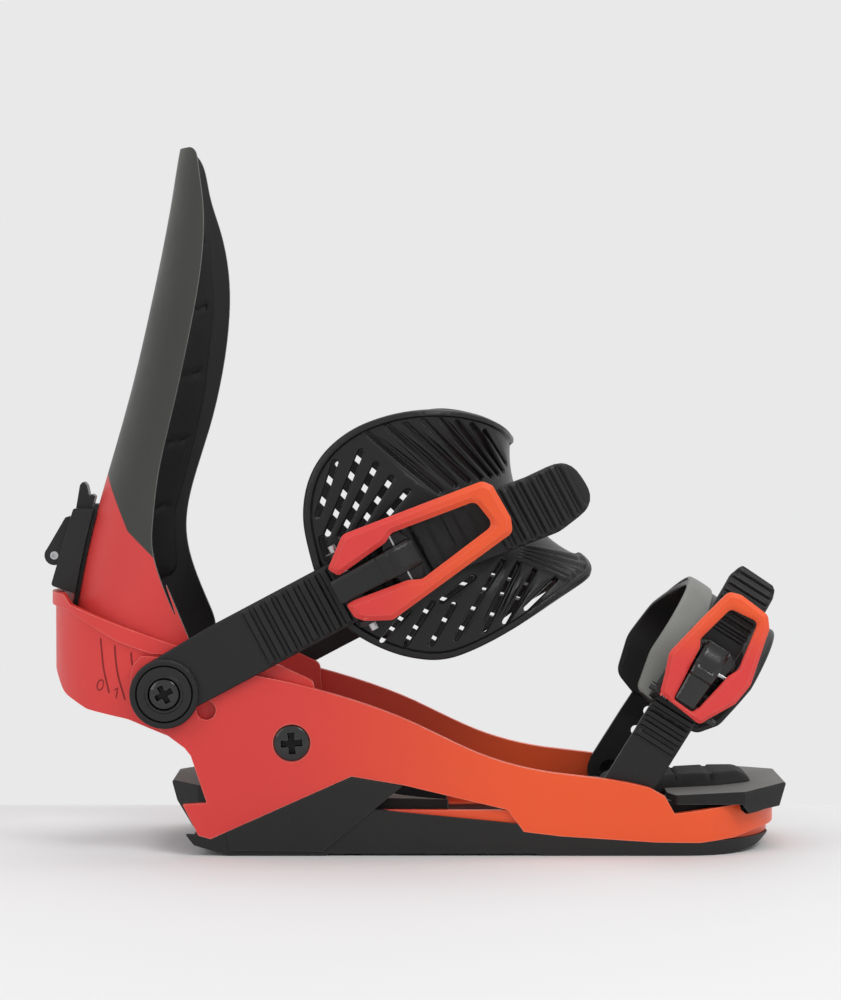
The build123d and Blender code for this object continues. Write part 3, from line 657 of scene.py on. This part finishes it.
def circle(r, n=64):
    turns = [2 * math.pi * i / n for i in range(n)]
    return [Vector((r * math.cos(a), r * math.sin(a))) for a in turns]


def ridge(x, centre, half, flank=0.5):
    """1 on a ridge, 0 off it."""
    return 1 - step01(np.abs(x - centre), half, half + flank)


def ridge_lines(ridges, lo, hi):
    """Lines across a strap on both flanks of each ridge."""
    places = [c + side for c, half, flank in ridges for side in (-half - flank, -half, half, half + flank)]
    return [refine([(x, lo), (x, hi)], 1.5, False) for x in places]


def raised(u, margin, ridges, height, low, high):
    """Ridges across a strap that fade out where margin, the distance to its edge, goes from high to low."""
    return sum(height * ridge(u, *r) for r in ridges) * step01(margin, low, high)


HEAD_R, HEAD_RIM, HEAD_SEAT = 15.7, 15.72, 12.78    # the strap's round end, its raised rim, the disc's seat
ring = arc(HEAD_R, 90, 309.6, 60)
arm = smooth_loop([(10.0, -12.1), (136, -12.1, 20), (192, -19.4, 20), (213.6, -16, 12), (211.4, 8.6, 12),
                   (190, 9.8, 20), (136, 17.3, 20), (30, 17.3, 20), (0, 15.7)], gap=1.5)
arm = [p for p in arm if p.x > 10.5 or (p.y > 15 and p.x > 0.5)]
ladder_outline = ring + arm
ankle_teeth = [(50 + 5.6 * i, 1.15, 0.9) for i in range(9)]
ankle_bands = [(106 + 7.4 * i, 1.7, 1.3) for i in range(8)]
ankle_grips = [(168.5 + 4.75 * i, 0.7, 1.2) for i in range(9)]


def ladder_top(u, v, d):
    r = np.hypot(u, v)
    lower = np.interp(u, [0, 136, 192, 214], [-12.1, -12.1, -19.4, -16])
    upper = np.interp(u, [0, 136, 190, 212], [17.3, 17.3, 9.8, 8])
    margin = np.minimum(v - lower, upper - v)
    w = 1.8 + raised(u, margin, ankle_teeth, 1.45, 0.7, 1.9) + raised(u, margin, ankle_bands, 1.0, 0.8, 2.4)
    w += raised(u, margin, ankle_grips, 1.5, 0.2, 1.6) - rounded(d, 0.9)
    rim = 4.4 - rounded(np.minimum(r - HEAD_SEAT, HEAD_RIM - r), 1.0)
    w = np.where((r > HEAD_SEAT) & (r < HEAD_RIM), rim, w)
    return np.where(r <= HEAD_SEAT, 0.95, w)


ladder_lines = within(ridge_lines(ankle_teeth + ankle_bands + ankle_grips, -30, 30), ladder_outline, 0.95)
ladder_lines += [(circle(r), True) for r in (12.7, 12.8, 13.2, 13.8)]
head_arc = arc(HEAD_R, -52, 88, 40)
ladder_lines += [(head_arc, False)] + [([p * r / HEAD_R for p in head_arc], False) for r in (14.9, 15.85)]
ankle_ladder = relief("ankle_ladder_strap", ladder_outline, ladder_top, level(-1.8, 0.6),
                      strap_place(PIVOT, STRAP_ANGLE, ankle_depth), [circle(6.1, 40)], ladder_lines,
                      grid=2.2, edge=0.9)
stand_for(ankle_ladder, STRAP, "ankle_ladder", "ankle_ladder")

TOE_PIVOT, TOE_ANGLE = (67.0, 27.0), 57.8


def toe_depth(u):
    over = np.maximum(u - 88, 0)
    return -47.9 + 0.0112 * over ** 2, 0.0224 * over


toe_ring = arc(11.0, 92, 268, 36)
toe_arm = smooth_loop([(0.4, -11.0), (40, -10.8, 10), (112, -10.8, 3), (116.5, -8.4, 2), (117, 9.0, 2),
                       (111, 11.6, 3), (40, 11.4, 10), (0.4, 11.0)], gap=1.3)
toe_strap_outline = toe_ring + [p for p in toe_arm if p.x > 0.6]
toe_teeth = [(28.4 + 5.0 * i, 0.9, 0.8) for i in range(5)]
toe_bands = [(56 + 5.6 * i, 1.2, 0.9) for i in range(5)]
toe_grips = [(87.5 + 3.35 * i, 0.5, 0.75) for i in range(9)]


def toe_ladder_top(u, v, d):
    margin = np.minimum(v + 10.8, 11.5 - v)
    w = 1.6 + raised(u, margin, toe_teeth, 1.6, 0.3, 1.2) + raised(u, margin, toe_bands, 0.9, 0.6, 1.8)
    return w + raised(u, margin, toe_grips, 1.3, 0.1, 1.2) - rounded(d, 0.8)


toe_lines = within(ridge_lines(toe_teeth + toe_bands + toe_grips, -12, 12), toe_strap_outline, 0.9)
toe_ladder = relief("toe_ladder_strap", toe_strap_outline, toe_ladder_top, level(-1.6, 0.5),
                    strap_place(TOE_PIVOT, TOE_ANGLE, toe_depth), [circle(2.6, 24)], toe_lines,
                    grid=2.0, edge=0.8)
stand_for(toe_ladder, STRAP, "toe_ladder", "toe_ladder")


# --------------------------------------------------------------------- levers
def plate_place(y0):
    return lambda u, v, w: (u, y0 - w, v)


def turned(origin, angle, u, v):
    c, s = math.cos(math.radians(angle)), math.sin(math.radians(angle))
    return origin[0] + u * c - v * s, origin[1] + u * s + v * c


def along_of(origin, angle, x, z):
    c, s = math.cos(math.radians(angle)), math.sin(math.radians(angle))
    return (x - origin[0]) * c + (z - origin[1]) * s


def lever_cheeks(origin, angle, lo, hi, size, axle_y):
    """The two cheeks that carry a lever on its axle, between lo and hi from its middle line."""
    deep = axle_y - 8.5 * size + 1.2
    parts = []
    for sign in (-1, 1):
        shape = [(u * size, sign * v) for u, v in ((-2.2, lo), (7, lo), (7, hi), (-2.2, hi))]
        loop = smooth_loop([(*turned(origin, angle, *p), 0.9) for p in shape[::sign]], gap=1.5)
        parts.append(relief("cheek", loop, lambda u, v, d: -rounded(d, 0.7),
                            level(-(axle_y + 3.4 - deep), 0.7), plate_place(deep), grid=3, edge=0.7))
    return parts


ANKLE_AXLE, TOE_AXLE = (-55.2, 122.6), (93.5, 69.1)
fork = smooth_loop([
    (-66.6, 131.0, 2), (-60.0, 146.6, 5), (2.6, 170.6, 5), (7.2, 168.6, 3), (15.4, 154.2, 5),
    (16.2, 147.6, 4), (-37.4, 108.4, 5), (-50.2, 108.0, 5), (-54.6, 109.6, 3), (-58.2, 115.2, 1.5),
    (-54.8, 117.2, 2), (-30.8, 126.2, 5), (-24.2, 126.7, 5), (7.8, 151.0, 4), (-0.6, 161.6, 4),
    (-38.0, 147.4, 4), (-40.8, 143.0, 4), (-61.6, 128.2, 2)], gap=1.2)
fork_window = [(-61.6, 128.2), (-40.8, 143.0), (-38.0, 147.4), (-0.6, 161.6), (7.8, 151.0), (-24.2, 126.7),
               (-30.8, 126.2), (-54.8, 117.2)]


def lever_top(origin, angle, size, window, chamfer, drop, inner):
    """Plate top with a broad chamfer outside, a narrow one inside and a root that slopes away."""
    def top(u, v, d):
        w = 5.2 * size - drop * (1 - np.clip(d / chamfer, 0, 1))
        near = distance_to(np.column_stack([u, v]), [window], closed=False)
        w = np.where(near < inner, np.minimum(w, 5.2 * size - 1.6 * (1 - np.clip(near / inner, 0, 1))), w)
        root = np.clip((4 - along_of(origin, angle, u, v)) / 16, 0, 1)
        return np.maximum(w - 1.6 * size * root ** 1.5, 1.0)
    return top


ankle_lever = relief("ankle_lever_fork", fork,
                     lever_top(ANKLE_AXLE, STRAP_ANGLE, 1.0, fork_window, 2.3, 1.9, 1.6), level(0.0, 0.6),
                     plate_place(-68.3), creases=[(offset(fork, 2.3), True)], grid=2.2, edge=0.5)
ankle_lever = join([ankle_lever] + lever_cheeks(ANKLE_AXLE, STRAP_ANGLE, 14.1, 15.6, 1.0, -65.0),
                   "ankle_lever_fork")
stand_for(ankle_lever, ANKLE_PAINT, "ankle_lever", "ankle_lever")

toe_fork = smooth_loop([(83.0, 74.6, 3), (85.1, 82.4, 3), (87.2, 92.9, 6), (101.6, 108.1, 6),
                        (114.0, 120.4, 4), (119.7, 118.9, 4), (131.6, 109.8, 4), (132.3, 103.6, 6),
                        (123.8, 78.0, 5), (116.9, 69.6, 4), (104.5, 62.7, 4), (101.0, 60.2, 3)], gap=1.0)
toe_hole = smooth_loop([(89.2, 72.0, 1.5), (101.0, 95.2, 4), (101.2, 99.2, 3), (114.8, 112.7, 3),
                        (127.3, 106.6, 3), (118.4, 85.0, 4), (113.8, 82.1, 3), (101.1, 68.3, 2),
                        (97.6, 66.0, 1.5)], gap=1.0)
toe_lever = relief("toe_lever_ring", toe_fork,
                   lever_top(TOE_AXLE, TOE_ANGLE, 0.8, toe_hole + toe_hole[:1], 1.8, 1.5, 1.5),
                   level(0.0, 0.5), plate_place(-58.24), holes=[toe_hole],
                   creases=[(offset(toe_fork, 1.8), True), (offset(toe_hole, -1.5), True)],
                   grid=1.8, edge=0.4)
toe_lever = join([toe_lever] + lever_cheeks(TOE_AXLE, TOE_ANGLE, 10.7, 11.5, 0.8, -55.6), "toe_lever_ring")
stand_for(toe_lever, TOE_PAINT, "toe_lever", "toe_lever")

# -------------------------------------------------------------------- toe cap
TOE_HALF, TOE_CREST = 43.5, 99.0
TOP_ALONG = TOE_CREST - TOE_HALF


def cap_place(u, v, w):
    """u is arc length from the crest to the lateral side, v across, w outward."""
    a = np.clip(u / TOE_HALF, -math.pi / 2, math.pi / 2)
    r = TOE_HALF + w
    along = TOP_ALONG + r * np.cos(a) - np.maximum(np.abs(u) - TOE_HALF * math.pi / 2, 0)
    x, z = turned(TOE_PIVOT, TOE_ANGLE, along, v)
    return x, -r * np.sin(a), z


def cap_flat(along, across, side):
    """Side place on the cap to its flat pattern."""
    if along > TOP_ALONG:
        s = TOE_HALF * math.acos(min(1, (along - TOP_ALONG) / TOE_HALF))
    else:
        s = TOE_HALF * math.pi / 2 + TOP_ALONG - along
    return Vector((side * s, across))


def cap_run(corners, gap):
    """Half of an outline on the cap, from one end of the crest to the other."""
    run = [p for p in smooth_loop(corners, gap=gap) if p.x < 98.9]
    start = max(range(len(run)), key=lambda i: (run[i] - run[i - 1]).length)
    return run[start:] + run[:start]


def cap_outline(near, far, gap):
    """Whole outline on the flat pattern from the corners of its near and far halves."""
    near, far = cap_run(near, gap), cap_run(far, gap)
    flat = [cap_flat(p.x, p.y, 1) for p in near] + [cap_flat(p.x, p.y, -1) for p in far[::-1]]
    return refine(flat, 2.0, True)


shell_outline = cap_outline([(41, -14, 6), (41, 10, 3), (44, 19.5, 6), (62, 23.5, 20), (80, 22.6, 20),
                             (99, 22), (99, -25), (72, -25, 12), (50, -21, 8)],
                            [(39, -14, 6), (38, 12, 4), (42, 23.5, 8), (60, 28.5, 20), (80, 27.5, 20),
                             (99, 22), (99, -25), (72, -25, 12), (50, -21, 8)], 1.4)
shell_holes = [slot_shape(*cap_flat(84, -6, side), *cap_flat(92, -6, side), 4.0) for side in (1, -1)]


def shell_top(u, v, d):
    return 0.5 * step01(d, 3.4, 2.4) - 0.45 * ridge(v, 6, 0.5, 0.5) * step01(d, 3, 5) - rounded(d, 1.3)


toe_cap = relief("toe_cap_shell", shell_outline, shell_top, level(-3.4, 1.0), cap_place, shell_holes,
                 [(offset(shell_outline, q), True) for q in (2.4, 3.4)], grid=2.2, edge=1.0)
stand_for(toe_cap, PAD, "toe_strap", "toe_cap")

band_outline = cap_outline([(43, 9, 3), (44.2, 20.2, 4), (62, 24.2, 20), (80, 23.3, 20), (99, 22.7),
                            (99, 10), (80, 8, 20), (62, 9.5, 10)],
                           [(46, 17, 3), (46, 22, 4), (60, 27.0, 20), (80, 26.5, 20), (99, 22.7),
                            (99, 10), (80, 16, 20), (62, 19, 10)], 1.2)
cap_band = relief("toe_cap_grip", band_outline,
                  lambda u, v, d: 1.5 - rounded(d, 1.5) + 0.25 * step01(d, 1.6, 3.4),
                  level(0.05), cap_place, grid=2.0, edge=1.4)
stand_for(cap_band, GREY, "toe_strap", "toe_cap_band")

# ------------------------------------------------------- screws and strap discs
CROSS = [(1.2, 1.2), (1.5, 4.3), (-1.5, 4.3), (-1.2, 1.2), (-4.3, 1.5), (-4.3, -1.5), (-1.2, -1.2),
         (-1.5, -4.3), (1.5, -4.3), (1.2, -1.2), (4.3, -1.5), (4.3, 1.5)]


def side_place(x, z, y, sign):
    """Placer for a round part on a side face: w stands out from depth y, on the near or far side."""
    return lambda u, v, w: (x + u, sign * (y + w), z + v)


def cross_loop(r, turn_by):
    """Outline of the cross recess in a head of radius r."""
    c, s = r / 7.0 * math.cos(math.radians(turn_by)), r / 7.0 * math.sin(math.radians(turn_by))
    return smooth_loop([(px * c - pz * s, px * s + pz * c, 0.6) for px, pz in CROSS], gap=0.5)


def screw_head(x, z, r, y, turn_by, sign, end):
    """Domed head with a cross recess at depth y, and its shank down to end."""
    cross = cross_loop(r, turn_by)

    def top(u, v, d):
        points = np.column_stack([u, v])
        deep = step01(distance_to(points, [cross]), 0.0, 0.5) * inside(points, cross)
        return 1.5 * (1 - (np.hypot(u, v) / r) ** 2) - rounded(d, 0.6) - 2.3 * deep

    place = side_place(x, z, y, sign)
    head = relief("head", circle(r, 56), top, level(-1.6), place, grid=1.0, edge=0.5,
                  creases=[(cross, True), (offset(cross, 0.45), True)])
    return [head, relief("shank", circle(2.9, 24), level(-1.5), level(end - y), place, grid=2.5, edge=0.3)]


for node, (x, z), r, y, turn_by, end in (("heelcup_screws", (-83.4, 51.3), 8.1, 55.0, 4, 42.9),
                                         ("strap_screws", PIVOT, 7.0, 61.0, 28, 40.2)):
    screws = join([part for sign in (-1, 1) for part in screw_head(x, z, r, y, turn_by * -sign, sign, end)],
                  node + "_turned")
    stand_for(screws, BLACK_STEEL, "base", node)
    # The faces inside each cross recess get the painted shade material.
    screws.data.materials.append(PAINTED_RECESS_SHADE)
    centres = np.array([face.center for face in screws.data.polygons]) / MM
    for sign in (-1, 1):
        painted_shade_faces = inside(centres[:, [0, 2]] - (x, z), cross_loop(r, turn_by * -sign))
        for k in np.flatnonzero(painted_shade_faces & (sign * centres[:, 1] > y - 1.5)):
            screws.data.polygons[int(k)].material_index = 1


def disc_top(u, v, d):
    r = np.hypot(u, v)
    w = 0.25 * step01(r, 8.6, 9.2) - rounded(d, 0.5) + 0.9 * ridge(r, 7.9, 0.35, 0.45)
    spoke = np.abs((np.degrees(np.arctan2(v, u)) % 30) - 15) * r * math.pi / 180
    return w + 0.22 * (1 - step01(spoke, 0.3, 0.7)) * step01(r, 9.2, 9.8) * step01(r, 11.8, 11.2)


discs = [relief("disc", circle(12.45, 72), disc_top, level(-3.0, 0.4), side_place(*PIVOT, 60.75, sign),
                [circle(7.2, 56)], [(circle(q), True) for q in (7.5, 7.9, 8.3, 9.0)], grid=0.9, edge=0.4)
         for sign in (-1, 1)]
strap_discs = join(discs, "strap_disc_faces")
stand_for(strap_discs, BUCKLE, "base", "strap_discs")

# -------------------------------------------------------------- release levers
def release_lever(name, origin, angle, size, long, axle_y, tail, shift, across, widths, hump):
    """Finger bar over the buckle with a raised stop near its end and a crosspiece on its pin."""
    y0, thick = axle_y - 4.3 * size, 4.2 * size - 0.6
    a, b = widths[0] / 2, widths[1] / 2
    end = 33 * long
    half = [(tail, shift + a, 1.0), (19 * long, shift + b, 1.0), (21 * long, across, 1),
            (29 * long, across, 1.5), (end, shift + b - 0.8, 2)]
    other = [(u, 2 * shift - v if abs(v) < across else -across, r) for u, v, r in half[::-1]]
    loop = smooth_loop(half + other, gap=1.2)

    def top(u, v, d):
        reach = np.interp(u, [tail, 19 * long], [a, b]) - np.abs(v - shift)
        bar = thick - 0.9 * (1 - np.clip(reach / 1.7, 0, 1))
        bar += hump * ridge(u, 17.5 * long, 1.8 * long, 1.2 * long)
        bar -= (thick + 0.6) * step01(u, 22 * long, end)
        wing = -3.6 * size
        return wing + (bar - wing) * step01(reach, -0.6, 0.1) - rounded(d, 0.45)

    def bottom(u, v, d):
        return -6.2 * size * step01(u, 18.2 * long, 19.4 * long)

    flanks = [[(u, shift + sign * (w + more)) for u, w in ((tail + 1, a), (19 * long, b), (end - 1, b))]
              for sign in (-1, 1) for more in (-1.7, -0.1, 0.6)]
    lines = within([refine(line, 1.2, False) for line in flanks], loop, 0.5)
    lines += [(refine([(u * long, shift - b + 0.9), (u * long, shift + b - 0.9)], 1.2, False), False)
              for u in (14.5, 15.7, 19.3, 20.5)]

    def place(u, v, w):
        x, z = turned(origin, angle, u, v)
        return x, y0 - w, z
    return relief(name, loop, top, bottom, place, creases=lines, grid=1.3, edge=0.4)


ankle_catch = release_lever("ankle_release_bar", ANKLE_AXLE, STRAP_ANGLE, 1.0, 1.0, -65.0, -8, 1.6, 13.6,
                            (11.4, 12.4), 1.2)
stand_for(ankle_catch, BUCKLE, "ankle_release", "ankle_release_lever")
toe_catch = release_lever("toe_release_bar", TOE_AXLE, TOE_ANGLE, 0.8, 0.95, -55.6, 0.9, 0.0, 11.0,
                          (10.4, 12.0), 1.3)
stand_for(toe_catch, GLOSS, "toe_release", "toe_release_lever")

# --------------------------------------------------------------- heelcup scale
CUP_X, CUP_R = -146.0, 49.85


def cup_place(sign):
    """u is X on the flat side and arc length round the heel, v is height, w stands out."""
    def place(u, v, w):
        a = np.maximum(CUP_X - u, 0) / CUP_R
        x = np.where(u > CUP_X, u, CUP_X - (CUP_R + w) * np.sin(a))
        y = np.where(u > CUP_X, CUP_R + w, (CUP_R + w) * np.cos(a))
        return x, sign * y, v
    return place


def ribbon(points, width):
    """Outline of a thin line along points."""
    line = refine(points, 1.5, False)
    left, right = [], []
    for i, p in enumerate(line):
        d = (line[min(i + 1, len(line) - 1)] - line[max(i - 1, 0)]).normalized()
        side = Vector((-d.y, d.x)) * width / 2 * (1 if 0 < i < len(line) - 1 else 0.4)
        left.append(p + side)
        right.append(p - side)
    return left + right[::-1]


def cup_u(x):
    return CUP_X - CUP_R * math.asin(min(1, (CUP_X - x) / CUP_R)) if x < CUP_X else x


scribes = [
    [(-171.0, 98.3), (-170.4, 92), (-169.5, 84), (-166.9, 73.0)],
    [(-164.2, 95.2), (-163.8, 89), (-162.6, 81), (-159.4, 70.2)],
    [(-156.6, 92.2), (-156.4, 89), (-156.0, 86)],
]
zero = [(1.5 * math.cos(a) + 0.5 * math.sin(a), 2.4 * math.sin(a)) for a in np.linspace(0, 2 * math.pi, 15)]
one = [(-1.0, 1.3), (0.7, 2.5), (-0.1, -2.5)]
marks = [(curve_loop([Vector(p) for p in line], 1.5, False), 0.8) for line in scribes]
marks += [([(x + px, z + pz) for px, pz in digit], 0.6)
          for digit, x, z in ((zero, -171.2, 76.6), (one, -163.6, 73.2))]
flat_marks = [(ribbon([(cup_u(x), z) for x, z in line], width), sign)
              for sign in (-1, 1) for line, width in marks]
cup_scale = join([relief("mark", outline, level(0.06), level(-0.3), cup_place(sign), grid=4.0, edge=0.12)
                  for outline, sign in flat_marks], "heelcup_scale")
cup_scale.data.materials.append(SCRIBE)
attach(cup_scale, "base")

# --------------------------------------------------------------------- cushions
def crowned(d, height, reach):
    """Height of a stuffed surface over its flat shape at distance d from the seam."""
    t = np.clip(d / reach, 0, 1)
    return height * np.sqrt(np.maximum(1 - (1 - t) ** 2, 0))


def lying_place(x0, z0, slope):
    return lambda u, v, w: (u - slope * w, v, z0 + (u - x0) * slope + w)


def foam_top(height, places, deep):
    """Top of a moulded cushion: crowned, with pressed channels across it at the places."""
    def top(u, v, d):
        pressed = deep * sum(1 - step01(np.abs(u - c), 0, 1.4) for c in places)
        return 0.2 + crowned(d, height, 9) - pressed * step01(d, 0, 4)
    return top


def footbed_pad(name, corners, top, place):
    outline = smooth_loop(corners, gap=2.0)
    return relief(name, outline, top, level(-0.6), place, grid=1.5, edge=1.5,
                  creases=[(offset(outline, q), True) for q in (3, 5, 7)])


heel_pad = footbed_pad("heel_cushion_foam", [(-121.5, -19, 8), (-121.5, 19, 8), (-108, 27, 8), (-74, 27, 8),
                                             (-60.5, 21, 8), (-60.5, -21, 8), (-74, -27, 8), (-108, -27, 8)],
                       foam_top(4.8, (-106, -91, -76), 1.5), lying_place(-122, 29, -0.0677))
toe_pad = footbed_pad("toe_cushion_foam", [(59, -20, 6), (59, 20, 6), (68, 24, 8), (112, 24, 10),
                                           (129, 17, 8), (129, -17, 8), (112, -24, 10), (68, -24, 8)],
                      foam_top(6.2, (78, 94, 110), 1.7), lying_place(58, 24.2, 0.0535))
for piece, node in ((heel_pad, "heel_cushion"), (toe_pad, "toe_cushion")):
    stand_for(piece, CUSHION, "base", node)

BACK_Z = [84, 113, 156, 189, 216, 255, 297, 326]
BACK_REAR = [-190.2, -185.4, -176, -166.4, -159, -150, -141.6, -136.6]
BACK_HALF = [45.3, 45.0, 44.4, 43.6, 42.6, 40.6, 37.2, 33.0]
BACK_DEPTH = [45.2, 45.2, 45, 44, 42, 40, 36, 32]
BACK_UNIT = 42.0    # flat millimetres in a radian round the back


def back_place(u, v, w):
    """u runs round from the spine, v is height, w is how far in from the shell's outer face."""
    rear, half, depth = (np.interp(v, BACK_Z, run) for run in (BACK_REAR, BACK_HALF, BACK_DEPTH))
    a = u / BACK_UNIT
    return rear + depth - (depth - w) * np.cos(a), (half - w) * np.sin(a), v


def back_u(x, z, sign):
    rear, depth = np.interp(z, BACK_Z, BACK_REAR), np.interp(z, BACK_Z, BACK_DEPTH)
    return sign * BACK_UNIT * math.acos(max(-1, min(1, (rear + depth - x) / (depth - 3.4))))


near_edge = [(-152, 122), (-152.5, 150), (-147, 180), (-142, 210), (-134, 250), (-131, 280), (-131.5, 300)]
far_edge = [(-129, 300), (-125.5, 280), (-124, 250), (-128.5, 210), (-135.5, 180), (-143.5, 150),
            (-142, 122)]
back_shape = [(back_u(x, z, -1), z, 6) for x, z in near_edge] + [(0, 313, 20)]
back_shape += [(back_u(x, z, 1), z, 6) for x, z in far_edge] + [(30, 118, 8), (-30, 118, 8)]
back_shape = smooth_loop(back_shape, gap=2.5)


def back_pad_inside(u, v, d):
    ribs = sum(1 - step01(np.abs(v - c - 0.010 * u * u / 4), 0, 1.6) for c in (150, 182, 214, 246, 278))
    return 3.6 + crowned(d, 3.9, 10) - 1.5 * ribs * step01(d, 1, 6)


back_pad = relief("highback_cushion", back_shape, back_pad_inside, level(3.1), back_place,
                  creases=[(offset(back_shape, q), True) for q in (3, 6)], grid=2.2, edge=1.6)
stand_for(back_pad, CUSHION, "highback", "highback_pad")

# ------------------------------------------------------------- floor and lights
FLOOR_LINE, BACKDROP = 0.122, (0.815, 0.815, 0.82)
mat, tree, shader = new_material("floor")
depth_of = add(tree, "SeparateXYZ", place_of(tree)).outputs["Y"]
beyond = span(tree, depth_of, FLOOR_LINE - 0.002, FLOOR_LINE + 0.004)
pale = mixed(tree, noise(tree, 2.5, 3.0), (0.735, 0.735, 0.74), (0.76, 0.76, 0.765))
feed(tree, pale, shader.inputs["Base Color"])
shader.inputs["Roughness"].default_value = 0.7
shader.inputs["Specular IOR Level"].default_value = 0.25
glow = add(tree, "Emission", BACKDROP).outputs["Emission"]
blend = add(tree, "MixShader", beyond, shader.outputs["BSDF"], glow)
feed(tree, blend.outputs["Shader"], tree.nodes["Material Output"].inputs["Surface"])
bpy.ops.mesh.primitive_plane_add(size=24, location=(0, 0, -0.0001))
floor = bpy.context.object
floor.name = "floor"
floor.data.materials.append(mat)


def area_light(name, place, target, size, power):
    data = bpy.data.lights.new(name, "AREA")
    data.shape = "RECTANGLE"
    data.size, data.size_y = size
    data.energy = power
    lamp = bpy.data.objects.new(name, data)
    bpy.context.collection.objects.link(lamp)
    lamp.location = place
    lamp.rotation_euler = (Vector(target) - Vector(place)).to_track_quat("-Z", "Y").to_euler()


area_light("key", (0.9, -1.1, 1.5), (0, 0, 0.1), (0.7, 0.7), 10)
area_light("fill", (-1.2, -1.0, 0.9), (0, 0, 0.15), (0.6, 1.2), 3.5)
area_light("top", (0.2, 0.5, 1.7), (0, 0, 0.1), (1.2, 0.9), 6)

world = bpy.data.worlds.new("studio")
world.use_nodes = True
world.node_tree.nodes["Background"].inputs["Color"].default_value = (*BACKDROP, 1)
world.node_tree.nodes["Background"].inputs["Strength"].default_value = 1.0
bpy.context.scene.world = world
bpy.context.scene.view_settings.view_transform = "Standard"

# -------------------------------------------------------------------- camera
CAMERA_BACK, CAMERA_HEIGHT, CAMERA_X, CAMERA_DOWN = 1.5, 0.212, -0.025, 2.0
lens = bpy.data.cameras.new("camera")
lens.sensor_fit = "VERTICAL"
lens.sensor_height = 36.0
lens.lens = 115.2
lens.clip_end = 60
camera = bpy.data.objects.new("camera", lens)
bpy.context.collection.objects.link(camera)
camera.location = (CAMERA_X, -CAMERA_BACK, CAMERA_HEIGHT)
camera.rotation_euler = (math.radians(90 - CAMERA_DOWN), 0, 0)
bpy.context.scene.camera = camera
